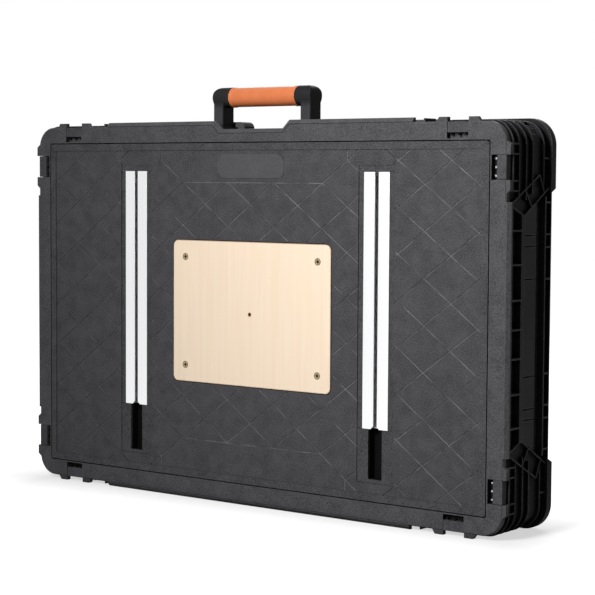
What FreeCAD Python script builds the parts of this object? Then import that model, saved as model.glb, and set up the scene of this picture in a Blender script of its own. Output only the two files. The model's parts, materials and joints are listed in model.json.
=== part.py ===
"""Folding workbench, folded flat and standing on its long edge with the carry handle up.

Frame: X along the length, Y from the worktop face (front) to the open underside (back), Z up.
The origin is the middle of the footprint. Depths are measured behind the worktop face and
heights from the middle of the body, so that each piece reads like a dimension on a drawing.
"""
import FreeCAD
import Part

import math
import os

Vector = FreeCAD.Vector

# Overall body, millimetres
LENGTH = 850.0
HEIGHT = 550.0
DEPTH = 118.0

# Front rim
RIM_WIDTH = 30.0
RIM_DEPTH = 8.0
CORNER_SETBACK = 6.0
CORNER_RADIUS = 30.0
RIM_CHAMFER = 4.5
CORNER_CHAMFER = 1.5
SIDE_PAD_FROM_END = 110.0
LONG_PAD_FROM_END = 150.0
PAD_ROOT = 22.0
BOSS_WIDTH = 13.0
BOSS_SLOPE = 4.0
BOSS_DROP = 1.0
CLIP_SIZE = 32.6
CLIP_FROM_TOP = 65.5
CLIP_FROM_END = 80.0
CLIP_REACH = 14.0
CLIP_SLOT = 8.0
CLIP_GAP = 0.4
NUB_RADIUS = 1.4
NUB_LENGTH = 4.0
NUB_PITCH = 11.0
CREASE_INSET = 6.2
CREASE_WIDTH = 1.2
CREASE_DEPTH = 0.8

# Finger notch below the handle
NOTCH_HALF = 55.0
NOTCH_SLOPE = 11.6
NOTCH_DROP = 11.6

# Worktop panel
SEAM_GAP = 1.6
SEAM_RADIUS = 3.0
PANEL_SKIN = 4.0
BORDER_WIDTH = 10.0
FIELD_DROP = 1.2
PANEL_RIB = 2.5
PANEL_RIB_DEPTH = 12.0
PANEL_RIB_COLUMNS = 9
PANEL_RIB_ROWS = 6
GROOVE_WIDTH = 1.5
GROOVE_DEPTH = 0.8
DIAMOND_LENGTH = 84.0
DIAMOND_HEIGHT = 62.4
BARE_HALF = 126.0
BARE_LINE = 187.2
BADGE_LENGTH = 120.0
BADGE_HEIGHT = 34.5
BADGE_RADIUS = 9.0
BADGE_RISE = 0.6
BADGE_LEVEL = 210.8

# Plywood insert and its screws
WOOD_LENGTH = 286.0
WOOD_HEIGHT = 207.0
WOOD_THICKNESS = 9.0
WOOD_RADIUS = 9.0
WOOD_GAP = 1.0
WOOD_PROUD = 0.6
WOOD_PILOT_RADIUS = 2.5
SCREW_SPACING_X = 240.0
SCREW_SPACING_Z = 158.0
SCREW_HEAD_RADIUS = 4.6
SCREW_SHANK_RADIUS = 2.1
SCREW_LENGTH = 16.0
SCREW_GAP = 0.15
SCREW_BOSS_RADIUS = 5.0
CROSS_LENGTH = 5.2
CROSS_WIDTH = 1.2
CROSS_DEPTH = 1.6

# Clamp rails, and their beds with the slots that clamps drop into
RAIL_SPACING = 435.0
RAIL_WIDTH = 42.0
RAIL_DEPTH = 12.0
RAIL_WALL = 2.0
RAIL_MOUTH = 6.0
RAIL_TOP = 203.0
RAIL_BOTTOM = -145.0
RAIL_GAP = 0.3
RAIL_FLARE = 4.0
RAIL_LEDGE = 2.0
CHANNEL_WIDTH = 59.0
CHANNEL_MARGIN = 9.0
CHANNEL_DROP = 0.8
SLOT_WIDTH = 22.6
SLOT_LENGTH = 69.0
SLOT_FLOOR = 17.5
BED_FOOT = 5.0
BED_FLANGE = 8.0
POCKET_WALL = 3.0
POCKET_SEAT = 30.0

# Side walls
WALL_RECESS = 13.0
WALL_SKIN = 3.5
WALL_BACK = 115.0
FLANGE_THICKNESS = 3.0
FLANGE_OVERLAP = 12.0
FIT = 0.3
RUNG_THICKNESS = 2.2
FRONT_RUNG_HEIGHT = 12.0
RIDGE_FRONT = 34.0
RIDGE_BACK = 43.0
RIDGE_HEIGHT = 11.0
STRIP_BACK = 78.0
STRIP_HEIGHT = 7.0
FIN_FRONT = 96.0
FIN_THICKNESS = 3.0
FIN_HEIGHT = 10.0
BACK_RUNG_HEIGHT = 9.0
END_RUNG_LEVELS = (0.0, 38.0, 84.0, 128.0)
END_BACK_RUNG_LEVELS = (63.0, 105.0, 122.0, 164.0)
LONG_RUNG_PITCH = 48.0
LONG_RUNG_CLEAR = 10.0
STRIP_GROOVE = 5.0
STRIP_GROOVE_LEVELS = (64.0, 107.0, 121.0)

# Corner bumpers
BUMPER_RIB_DEPTHS = (13.0, 28.0, 46.0, 62.0, 91.0)
BUMPER_RIB = 2.0
BUMPER_RIB_HEIGHT = 2.4
BUMPER_LIP = 11.5
BUMPER_SHELL = 3.2
BUMPER_RUNG_BACK = 28.0
BUMPER_RUNG_DROP = 1.0
BUMPER_BACK_RUNG = 53.0
BUMPER_END = 115.0
BUMPER_POINT = 14.4
BUMPER_BACK_END = 93.0
GUSSET_WIDTH = 40.0
GUSSET_REACH = 74.0
GUSSET_RUNG_FRONT = 63.0
GUSSET_RUNG_BACK = 95.0
RIB_STOP = 20.0

# Carry handle
HANDLE_WIDTH = 176.0
HANDLE_DEPTH_LEVEL = 37.5
HANDLE_RISE = 47.4
GRIP_RADIUS = 13.8
GRIP_LENGTH = 120.0
GRIP_RING = 4.0
GRIP_RING_RISE = 0.5
GRIP_SEAT = 6.0
GRIP_STEP = 2.0
BARREL_RADIUS = 14.6
BARREL_ROUND = 10.0
POST_WIDTH = 18.5
POST_DEPTH = 25.5
POST_CHAMFER = 1.5
CORE_ROD_RADIUS = 6.0
ROD_SEAT = 16.0
POST_FLANGE = 5.0
POST_FLANGE_MARGIN = 4.0
POST_SCREW_RADIUS = 2.5
POST_SCREW_HEAD = 4.5
POST_SCREW_LENGTH = 22.0
POST_SCREW_SPACING = 14.0
HANDLE_BAY_HALF = 104.0
BAY_FIN_HEIGHT = 3.0
SHOULDER_END = 54.0
SHOULDER_HEIGHT = 13.0
SHOULDER_ROUND = 9.0

# Folding legs
HINGE_FROM_END = 40.0
HINGE_LEVEL = 70.0
OPEN_ANGLE = 90.0
OUTER_LANE = 228.0
INNER_LANE = 188.0
TUBE_RADIUS = 12.5
TUBE_WALL = 2.0
BEARING_GAP = 0.06
KNUCKLE_RADIUS = 20.0
KNUCKLE_WIDTH = 34.0
KNUCKLE_REACH = 90.0
KNUCKLE_ROUND = 1.5
LEG_DEPTH = 36.0
LEG_WIDTH = 30.0
LEG_WALL = 2.0
LEG_ROUND = 3.0
LEG_SOCKET = 50.0
LEG_END = 425.0
LEG_FIT = 0.1
COLLAR_START = 400.0
COLLAR_END = 446.0
COLLAR_WALL = 4.0
SLIDE_GAP = 0.3
EXTENSION_GRIP = 75.0
EXTENSION_TRAVEL = 80.0
FOOT_CLEARANCE = 43.5
FOOT_HEIGHT = 30.0
FOOT_CUP = 15.0
FOOT_ROUND = 4.0
SPREADER_NEAR = 300.0
SPREADER_WIDTH = 60.0
SPREADER_DEPTH = 28.0
SPREADER_WALL = 3.0
SPREADER_RIB_COUNT = 5

# Height clamp knobs
KNOB_RADIUS = 15.0
KNOB_HEIGHT = 14.0
KNOB_LOBES = 6
KNOB_LOBE_RADIUS = 5.0
KNOB_STUD_RADIUS = 4.0
KNOB_STUD_GAP = 0.1
KNOB_BOSS_RADIUS = 9.0
KNOB_BOSS_HEIGHT = 3.0
KNOB_CLEAR = 0.8

# Hinge brackets and fold locks
BRACKET_THICKNESS = 8.0
BRACKET_RADIUS = 20.0
BRACKET_SIDE_GAP = 1.0
BRACKET_BASE = 2.5
BRACKET_BASE_WIDTH = 26.0
BRACKET_BASE_DEPTH = 50.0
LOCK_PLATE = 6.0
LOCK_DISC_RADIUS = 34.0
LOCK_DISC_THICKNESS = 6.0
LOCK_DISC_LEVEL = 20.0
LOCK_DISC_GAP = 2.0
LOCK_HUB_RADIUS = 18.0
LOCK_SECTOR_MARGIN = 18.0
LOCK_NOTCH_DEPTH = 8.0
LOCK_PIN_RADIUS = 4.0
LOCK_PIN_GAP = 0.1
LOCK_NOTCH_GAP = 0.3
LOCK_PARK = 2.0
LOCK_TRAVEL = 7.0
LOCK_HOUSING = 40.0
LOCK_HOUSING_HALF = 11.0
LOCK_KNOB_RADIUS = 13.0
LOCK_KNOB_LENGTH = 18.0
LOCK_NECK_RADIUS = 8.0
LOCK_KNOB_CHAMFER = 2.0
LOCK_KNOB_GAP = 0.8

# Cradles that hold the folded legs, and body screws
CRADLE_FROM_HINGE = 250.0
CRADLE_LENGTH = 36.0
CRADLE_THICKNESS = 4.0
CRADLE_TOP = 66.0
CRADLE_GAP = 0.4
BODY_SCREW_RADIUS = 2.0
BODY_SCREW_HEAD = 4.0
BODY_SCREW_HEAD_HEIGHT = 2.4
BODY_SCREW_TIP = 3.0
END_SCREWS_FROM_TOP = (125.0, 215.0)
LONG_SCREWS_FROM_END = (175.0, 285.0)

# Values worked out from the sizes above
HALF_L = LENGTH / 2
HALF_H = HEIGHT / 2
FRONT_Y = -DEPTH / 2
SEAM_X = HALF_L - RIM_WIDTH
SEAM_W = HALF_H - RIM_WIDTH
PANEL_X = SEAM_X - SEAM_GAP
PANEL_W = SEAM_W - SEAM_GAP
WALL_X = HALF_L - WALL_RECESS
WALL_W = HALF_H - WALL_RECESS
CORNER_X = HALF_L - CORNER_SETBACK
CORNER_W = HALF_H - CORNER_SETBACK
WALL_RADIUS = CORNER_RADIUS - WALL_RECESS + CORNER_SETBACK
WALL_FRONT = RIM_DEPTH + FIT
FLANGE_BACK = WALL_FRONT + FLANGE_THICKNESS
PLATE_BACK = FIELD_DROP + PANEL_SKIN
SIDE_PAD_HALF = HALF_H - SIDE_PAD_FROM_END
LONG_PAD_HALF = HALF_L - LONG_PAD_FROM_END
CLIP_ON_END = HALF_H - CLIP_FROM_TOP
CLIP_ON_LONG = HALF_L - CLIP_FROM_END
HINGE_X = HALF_L - HINGE_FROM_END
LEG_LENGTH = HINGE_X + WALL_X - WALL_SKIN - EXTENSION_TRAVEL - FOOT_CLEARANCE
SPREADER_FAR = SPREADER_NEAR + SPREADER_WIDTH
EXTENSION_START = LEG_END - EXTENSION_TRAVEL - EXTENSION_GRIP
HANDLE_AXIS = WALL_W + HANDLE_RISE
BIG = LENGTH * 2


def block(x0, x1, d0, d1, w0, w1):
    """Box between two X values, two depths behind the worktop face and two heights from the middle."""
    low = Vector(min(x0, x1), FRONT_Y + min(d0, d1), HALF_H + min(w0, w1))
    return Part.makeBox(abs(x1 - x0), abs(d1 - d0), abs(w1 - w0), low)


def prism(points, direction):
    """Closed outline of frame points, swept along a direction."""
    outline = Part.makePolygon(points + [points[0]])
    return Part.Face(outline).extrude(direction)


def front_prism(outline, d0, d1):
    """Outline in (X, height from the middle), running from one depth to another."""
    points = [Vector(x, FRONT_Y + d0, HALF_H + w) for x, w in outline]
    return prism(points, Vector(0, d1 - d0, 0))


def end_prism(outline, x0, x1):
    """Outline in (depth, height from the middle), running along X."""
    points = [Vector(x0, FRONT_Y + d, HALF_H + w) for d, w in outline]
    return prism(points, Vector(x1 - x0, 0, 0))


def plan_prism(outline, w0, w1):
    """Outline in (X, depth), running up from one height to another."""
    points = [Vector(x, FRONT_Y + d, HALF_H + w0) for x, d in outline]
    return prism(points, Vector(0, 0, w1 - w0))


def rod(start, direction, radius, length):
    """Round bar from a (X, depth, height from the middle) point along a direction."""
    x, d, w = start
    return Part.makeCylinder(radius, length, Vector(x, FRONT_Y + d, HALF_H + w), Vector(*direction))


def edges_along(shape, axis):
    """Straight edges that run along one axis, X 0, Y 1 or Z 2."""
    found = []
    for edge in shape.Edges:
        if isinstance(edge.Curve, (Part.Line, Part.LineSegment)):
            run = edge.Vertexes[-1].Point - edge.Vertexes[0].Point
            if abs(abs(run[axis]) - run.Length) < 1e-6:
                found.append(edge)
    return found


def rounded_plate(half_x, half_w, radius, d0, d1):
    """Plate centred on the body with its four corners rounded in the front view."""
    plate = block(-half_x, half_x, d0, d1, -half_w, half_w)
    return plate.makeFillet(radius, edges_along(plate, 1))


def fused(shapes):
    return shapes[0].multiFuse(shapes[1:]).removeSplitter() if len(shapes) > 1 else shapes[0]


def left_right(shape):
    return shape.mirror(Vector(0, 0, 0), Vector(1, 0, 0))


def top_bottom(shape):
    return shape.mirror(Vector(0, 0, HALF_H), Vector(0, 0, 1))


def strip(start, end, width):
    """Corners of a straight strip of a given width between two points of a plane."""
    (a, b), (c, d) = start, end
    run = math.hypot(c - a, d - b)
    na, nb = -(d - b) / run * width / 2, (c - a) / run * width / 2
    return [(a + na, b + nb), (c + na, d + nb), (c - na, d - nb), (a - na, b - nb)]


# Front rim


def pad_edge(with_notch, inset):
    """Edge of a long pad in (X, height), moved in from the outline, with the finger notch if there is one."""
    level = HALF_H - inset
    edge = [(-LONG_PAD_HALF, level)]
    if with_notch:
        spread = inset * math.tan(math.atan2(NOTCH_DROP, NOTCH_SLOPE) / 2)
        low, high = NOTCH_HALF + spread, NOTCH_HALF + NOTCH_SLOPE + spread
        floor = level - NOTCH_DROP
        edge += [(-high, level), (-low, floor), (low, floor), (high, level)]
    return edge + [(LONG_PAD_HALF, level)]


def long_pad(with_notch):
    """Raised pad along a long edge, with a crease along it and the finger notch on the handle side."""
    low = HALF_H - PAD_ROOT
    outline = [(-LONG_PAD_HALF, low)] + pad_edge(with_notch, 0) + [(LONG_PAD_HALF, low)]
    pad = front_prism(outline, 0, RIM_DEPTH)
    lip = []
    for edge in pad.Edges:
        ends = [v.Point for v in edge.Vertexes]
        on_front = all(abs(p.y - FRONT_Y) < 1e-6 for p in ends)
        above = all(p.z > HALF_H + low + 1e-6 for p in ends)
        if on_front and above:
            lip.append(edge)
    pad = pad.makeChamfer(RIM_CHAMFER, lip)
    path = pad_edge(with_notch, CREASE_INSET)
    crease = [front_prism(strip(a, b, CREASE_WIDTH), -1, CREASE_DEPTH) for a, b in zip(path, path[1:])]
    return pad.cut(crease)


def end_pad():
    """Raised pad along a short edge."""
    root = HALF_L - PAD_ROOT
    outline = [(root, 0), (HALF_L - RIM_CHAMFER, 0), (HALF_L, RIM_CHAMFER), (HALF_L, RIM_DEPTH),
               (root, RIM_DEPTH)]
    return plan_prism(outline, -SIDE_PAD_HALF, SIDE_PAD_HALF)


def clip_bosses():
    """Bosses on both sides of each clip window of one corner, proud of the set-back corner."""
    reach = CLIP_SIZE / 2
    foot = BOSS_WIDTH + BOSS_SLOPE
    root_x, root_w = HALF_L - PAD_ROOT, HALF_H - PAD_ROOT
    made = []
    for way in (-1, 1):
        near, far, base = way * reach, way * (reach + BOSS_WIDTH), way * (reach + foot)
        level = CLIP_ON_END
        made.append(front_prism([(root_x, level + near), (HALF_L - BOSS_DROP, level + near),
                                 (HALF_L - BOSS_DROP, level + far), (CORNER_X, level + base),
                                 (root_x, level + base)], BOSS_DROP, RIM_DEPTH))
        place = CLIP_ON_LONG
        made.append(front_prism([(place + near, root_w), (place + near, HALF_H),
                                 (place + far, HALF_H), (place + base, CORNER_W),
                                 (place + base, root_w)], BOSS_DROP, RIM_DEPTH))
    return made


def clip_windows():
    """Openings of one corner that the bumper's clips come through."""
    reach = CLIP_SIZE / 2
    return [block(SEAM_X + SEAM_GAP, BIG, -1, RIM_DEPTH + 1, CLIP_ON_END - reach, CLIP_ON_END + reach),
            block(CLIP_ON_LONG - reach, CLIP_ON_LONG + reach, -1, RIM_DEPTH + 1, SEAM_W + SEAM_GAP, BIG)]


def at_all_corners(shapes):
    made = []
    for shape in shapes:
        made += [shape, left_right(shape), top_bottom(shape), top_bottom(left_right(shape))]
    return made


def body_screw_places():
    """Where the wall flanges are screwed to the rim, as (X, height from the middle)."""
    x, w = (SEAM_X + WALL_X - WALL_SKIN) / 2, (SEAM_W + WALL_W - WALL_SKIN) / 2
    sides = [(i, j) for i in (-1, 1) for j in (-1, 1)]
    ends = [(i * x, j * (HALF_H - s)) for i, j in sides for s in END_SCREWS_FROM_TOP]
    longs = [(i * (HALF_L - s), j * w) for i, j in sides for s in LONG_SCREWS_FROM_END]
    return ends + longs


def body_screw_holes(gap):
    return [rod((x, BODY_SCREW_TIP - gap, w), (0, 1, 0), BODY_SCREW_RADIUS + gap, FLANGE_BACK)
            for x, w in body_screw_places()]


def rim_frame():
    core = rounded_plate(CORNER_X, CORNER_W, CORNER_RADIUS, 0, RIM_DEPTH)
    front = [e for e in core.Edges if all(abs(v.Point.y - FRONT_Y) < 1e-6 for v in e.Vertexes)]
    core = core.makeChamfer(CORNER_CHAMFER, front)
    notch = NOTCH_HALF + NOTCH_SLOPE + RIM_CHAMFER
    core = core.cut(block(-notch, notch, -1, RIM_DEPTH + 1, HALF_H - PAD_ROOT, HALF_H))
    pads = [long_pad(True), top_bottom(long_pad(False)), end_pad(), left_right(end_pad())]
    ring = fused([core] + pads + at_all_corners(clip_bosses()))
    opening = rounded_plate(SEAM_X, SEAM_W, SEAM_RADIUS, -1, RIM_DEPTH + 1)
    cuts = [opening] + at_all_corners(clip_windows()) + body_screw_holes(SCREW_GAP)
    return ring.cut(cuts).removeSplitter()


# Worktop panel


def rail_places():
    return (-RAIL_SPACING / 2, RAIL_SPACING / 2)


def bare_outline(way):
    """Plain field above or below the lattice, where its lines stop."""
    edge = PANEL_W - BORDER_WIDTH
    side = BARE_HALF + DIAMOND_LENGTH / 2
    shoulder = BARE_LINE + DIAMOND_HEIGHT / 2
    return [(-BARE_HALF, way * BARE_LINE), (BARE_HALF, way * BARE_LINE), (side, way * shoulder),
            (side, way * edge), (-side, way * edge), (-side, way * shoulder)]


def lattice_grooves():
    """Diamond lattice cut into the field, clear of the rails, the insert and the bare fields."""
    floor = FIELD_DROP + GROOVE_DEPTH
    slope = DIAMOND_HEIGHT / DIAMOND_LENGTH
    lines = []
    count = math.ceil((PANEL_W + slope * PANEL_X) / DIAMOND_HEIGHT)
    for step in range(-count, count + 1):
        for way in (-1, 1):
            middle = step * DIAMOND_HEIGHT - way * slope * DIAMOND_LENGTH / 2
            ends = [(x, middle + way * slope * x) for x in (-PANEL_X, PANEL_X)]
            lines.append(front_prism(strip(ends[0], ends[1], GROOVE_WIDTH), -1, floor))
    field_x, field_w = PANEL_X - BORDER_WIDTH, PANEL_W - BORDER_WIDTH
    field = block(-field_x, field_x, -1, floor, -field_w, field_w)
    keep_off = [block(-WOOD_LENGTH / 2 - POCKET_WALL, WOOD_LENGTH / 2 + POCKET_WALL, -2, floor + 1,
                      -WOOD_HEIGHT / 2 - POCKET_WALL, WOOD_HEIGHT / 2 + POCKET_WALL)]
    keep_off += [front_prism(bare_outline(way), -2, floor + 1) for way in (-1, 1)]
    keep_off += [bed_block(x, FIT, -2, floor + 1) for x in rail_places()]
    keep_off += [channel_head(x, floor + 1) for x in rail_places()]
    grooves = fused(lines).common(field.cut(keep_off))
    outlines = []
    for way in (-1, 1):
        corners = bare_outline(way)
        path = [corners[3], corners[2], corners[1], corners[0], corners[5], corners[4]]
        for start, end in zip(path, path[1:]):
            outlines.append(front_prism(strip(start, end, GROOVE_WIDTH), -1, floor).common(field))
    return fused([grooves] + outlines)


def slot_bottom():
    return RAIL_BOTTOM - SLOT_LENGTH


def bed_block(x, grow, d0, d1):
    """Box over the front outline of a rail bed, grown on all four sides."""
    half = CHANNEL_WIDTH / 2 + grow
    return block(x - half, x + half, d0, d1, slot_bottom() - BED_FOOT - grow, RAIL_TOP + RAIL_GAP + grow)


def channel_head(x, depth):
    """Shallow recess of the panel that carries the channel on past the end of a rail."""
    half = CHANNEL_WIDTH / 2
    return block(x - half, x + half, -1, depth, RAIL_TOP, RAIL_TOP + CHANNEL_MARGIN)


def panel_back_ribs():
    """Stiffening ribs behind the worktop, clear of the wall flanges."""
    half_x = SEAM_X - FLANGE_OVERLAP - PANEL_RIB
    half_w = SEAM_W - FLANGE_OVERLAP - PANEL_RIB
    ribs = []
    for i in range(PANEL_RIB_COLUMNS + 1):
        x = -half_x + 2 * half_x * i / PANEL_RIB_COLUMNS
        ribs.append(block(x - PANEL_RIB / 2, x + PANEL_RIB / 2, PLATE_BACK - 1, PANEL_RIB_DEPTH,
                          -half_w, half_w))
    for i in range(PANEL_RIB_ROWS + 1):
        w = -half_w + 2 * half_w * i / PANEL_RIB_ROWS
        ribs.append(block(-half_x, half_x, PLATE_BACK - 1, PANEL_RIB_DEPTH,
                          w - PANEL_RIB / 2, w + PANEL_RIB / 2))
    return ribs


def insert_pocket():
    """Pocket of the plywood insert: its walls and ledge with screw bosses, and the openings cut in them."""
    x, w = WOOD_LENGTH / 2 + WOOD_GAP, WOOD_HEIGHT / 2 + WOOD_GAP
    ledge = insert_face() + WOOD_THICKNESS + FIT
    back = ledge + POCKET_WALL
    out_x, out_w = x + POCKET_WALL, w + POCKET_WALL
    solid = [block(-out_x, out_x, FIELD_DROP + 1, back, -out_w, out_w)]
    solid += [rod((i, ledge, j), (0, 1, 0), SCREW_BOSS_RADIUS, SCREW_LENGTH + POCKET_WALL - ledge)
              for i, j in insert_screw_places()]
    cuts = [block(-x, x, -1, ledge, -w, w),
            block(POCKET_SEAT - x, x - POCKET_SEAT, -1, back + 1, POCKET_SEAT - w, w - POCKET_SEAT)]
    cuts += [rod((i, 0, j), (0, 1, 0), SCREW_SHANK_RADIUS + SCREW_GAP, SCREW_LENGTH + FIELD_DROP)
             for i, j in insert_screw_places()]
    return solid, cuts


def worktop_panel():
    """Lattice panel with windows for the rail beds and a pocket for the plywood insert."""
    plate = rounded_plate(PANEL_X, PANEL_W, SEAM_RADIUS, 0, RIM_DEPTH)
    inner_x, inner_w = SEAM_X - FLANGE_OVERLAP, SEAM_W - FLANGE_OVERLAP
    plate = plate.cut(block(-inner_x, inner_x, PLATE_BACK, RIM_DEPTH + 1, -inner_w, inner_w))
    flange_room = [bed_block(x, BED_FLANGE + 1, PLATE_BACK, PANEL_RIB_DEPTH + 1) for x in rail_places()]
    ribs = fused(panel_back_ribs()).cut(flange_room)
    pocket, pocket_cuts = insert_pocket()
    panel = fused([plate, ribs] + pocket)
    field_x, field_w = PANEL_X - BORDER_WIDTH, PANEL_W - BORDER_WIDTH
    badge = rounded_plate(BADGE_LENGTH / 2, BADGE_HEIGHT / 2, BADGE_RADIUS, -1, FIELD_DROP)
    badge.translate(Vector(0, 0, BADGE_LEVEL))
    lowered = block(-field_x, field_x, -1, FIELD_DROP, -field_w, field_w).cut(badge)
    badge_top = badge.common(block(-BIG, BIG, -1, FIELD_DROP - BADGE_RISE, -BIG, BIG))
    windows = [bed_block(x, FIT, -1, PANEL_RIB_DEPTH + 1) for x in rail_places()]
    heads = [channel_head(x, FIELD_DROP + CHANNEL_DROP) for x in rail_places()]
    return panel.cut([lowered, badge_top, lattice_grooves()] + pocket_cuts + windows + heads).removeSplitter()


# Plywood insert


def insert_screw_places():
    half_x, half_w = SCREW_SPACING_X / 2, SCREW_SPACING_Z / 2
    return [(i * half_x, j * half_w) for i in (-1, 1) for j in (-1, 1)]


def insert_face():
    return FIELD_DROP - WOOD_PROUD


def wood_insert():
    face = insert_face()
    board = rounded_plate(WOOD_LENGTH / 2, WOOD_HEIGHT / 2, WOOD_RADIUS, face, face + WOOD_THICKNESS)
    y = FRONT_Y + face
    for x, w in insert_screw_places():
        mouth, throat = SCREW_HEAD_RADIUS + SCREW_GAP, SCREW_SHANK_RADIUS + SCREW_GAP
        sink = Part.makeCone(mouth, throat, mouth - throat, Vector(x, y, HALF_H + w), Vector(0, 1, 0))
        board = board.cut([sink, rod((x, face - 1, w), (0, 1, 0), throat, WOOD_THICKNESS + 2)])
    return board.cut(rod((0, face - 1, 0), (0, 1, 0), WOOD_PILOT_RADIUS, WOOD_THICKNESS + 2))


def cross_recess(x, d, w):
    """Cross-shaped driver recess in a screw head."""
    half, thin = CROSS_LENGTH / 2, CROSS_WIDTH / 2
    d0, d1 = d - 1, d + CROSS_DEPTH
    return block(x - half, x + half, d0, d1, w - thin, w + thin).fuse(
        block(x - thin, x + thin, d0, d1, w - half, w + half))


def insert_screws():
    face = insert_face()
    made = []
    for x, w in insert_screw_places():
        cone = SCREW_HEAD_RADIUS - SCREW_SHANK_RADIUS
        head = Part.makeCone(SCREW_HEAD_RADIUS, SCREW_SHANK_RADIUS, cone,
                             Vector(x, FRONT_Y + face, HALF_H + w), Vector(0, 1, 0))
        shank = rod((x, face + cone, w), (0, 1, 0), SCREW_SHANK_RADIUS, SCREW_LENGTH - cone)
        made.append(head.fuse(shank).cut(cross_recess(x, face, w)))
    return Part.makeCompound(made)


# Clamp rails


def rail(x):
    """Aluminium channel with a narrow mouth, for the head of a sliding clamp."""
    half, back = RAIL_WIDTH / 2, FIELD_DROP + RAIL_DEPTH
    mouth = RAIL_MOUTH / 2
    inside = half - RAIL_WALL
    lip = FIELD_DROP + RAIL_WALL
    outline = [(-mouth, FIELD_DROP), (-half, FIELD_DROP), (-half, back), (half, back), (half, FIELD_DROP),
               (mouth, FIELD_DROP), (mouth, lip), (inside, lip), (inside, back - RAIL_WALL),
               (-inside, back - RAIL_WALL), (-inside, lip), (-mouth, lip)]
    channel = plan_prism([(x + a, b) for a, b in outline], RAIL_BOTTOM, RAIL_TOP)
    wide, end = mouth + RAIL_FLARE, RAIL_BOTTOM + RAIL_FLARE
    flare = [(x - wide, RAIL_BOTTOM), (x + wide, RAIL_BOTTOM), (x + mouth, end), (x - mouth, end)]
    return channel.cut(front_prism(flare, FIELD_DROP - 1, lip))


def guide_strip(x, way):
    """Strip along one side of a rail, with a ledge under the rail and a flange behind the panel."""
    near, far = RAIL_WIDTH / 2 + RAIL_GAP, CHANNEL_WIDTH / 2
    face, seat = FIELD_DROP + CHANNEL_DROP, FIELD_DROP + RAIL_DEPTH + RAIL_GAP
    flange, back = PLATE_BACK + FIT, seat + POCKET_WALL
    bars = [(near, far, face, back), (near, far + BED_FLANGE, flange, flange + POCKET_WALL),
            (near - RAIL_LEDGE, far, seat, back)]
    return fused([block(x + way * a, x + way * b, d0, d1, RAIL_BOTTOM, RAIL_TOP + RAIL_GAP)
                  for a, b, d0, d1 in bars])


def slot_cup(x):
    """Blind cup that a clamp's head drops into, open towards the rail, with a plate between the strips."""
    half, slot, wall = CHANNEL_WIDTH / 2, SLOT_WIDTH / 2, POCKET_WALL
    face, seat = FIELD_DROP + CHANNEL_DROP, FIELD_DROP + RAIL_DEPTH + RAIL_GAP
    flange, back = PLATE_BACK + FIT, SLOT_FLOOR + wall
    foot, end = slot_bottom() - BED_FOOT, RAIL_BOTTOM - RAIL_GAP
    skirt = half + BED_FLANGE
    solid = [block(x - half, x + half, face, flange + wall, foot, end),
             block(x - skirt, x + skirt, flange, flange + wall, foot - BED_FLANGE, end),
             block(x - slot - wall, x + slot + wall, flange, back, slot_bottom() - wall, end),
             block(x - slot - wall, x + slot + wall, seat, back, end - 1, end + wall)]
    return fused(solid).cut(block(x - slot, x + slot, 0, SLOT_FLOOR, slot_bottom(), end))


def rail_bed(x):
    """What carries a rail and leads a clamp into it: two guide strips and a slot cup."""
    return Part.makeCompound([guide_strip(x, -1), guide_strip(x, 1), slot_cup(x)])


# Corner bumpers


def bumper_edge(along, gap):
    """Outline of a bumper arm in (depth, distance), distance being measured to its V-shaped end."""
    start = along - BUMPER_END - gap
    back = DEPTH + gap
    return [(WALL_FRONT - gap, start), (RIDGE_BACK, start - BUMPER_POINT),
            (back, along - BUMPER_BACK_END - gap), (back, along + BIG), (WALL_FRONT - gap, along + BIG)]


def bumper_arms(gap):
    """Volumes that the end arm and the long arm of the top right bumper occupy."""
    end_arm = end_prism(bumper_edge(HALF_H, gap), WALL_X - 1, HALF_L + 1)
    long_arm = plan_prism([(b, a) for a, b in bumper_edge(HALF_L, gap)], WALL_W - 1, HALF_H + 1)
    return end_arm, long_arm


def gusset_strips(along):
    """Slanting ribs at the end of an arm, in (depth, distance)."""
    start = along - BUMPER_END
    point = (RIDGE_BACK, start - BUMPER_POINT)
    tail = (DEPTH - BUMPER_LIP, along - BUMPER_BACK_END)
    rise = (tail[1] - point[1]) / (tail[0] - point[0])
    upper_end = (WALL_FRONT + GUSSET_REACH, start + GUSSET_WIDTH)
    lower = [(d, point[1] + rise * (d - point[0])) for d in (GUSSET_RUNG_FRONT, GUSSET_RUNG_BACK)]
    middle = ((WALL_FRONT + upper_end[0]) / 2, (start + upper_end[1]) / 2)
    inset = BUMPER_RIB / 2
    pairs = [((WALL_FRONT, start + inset), (upper_end[0], upper_end[1])),
             ((WALL_FRONT, start + inset), (point[0], point[1] + inset)),
             ((point[0], point[1] + inset), (tail[0], tail[1] + inset)),
             (middle, lower[0]), (upper_end, lower[1])]
    return [strip(a, b, BUMPER_RIB) for a, b in pairs]


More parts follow.
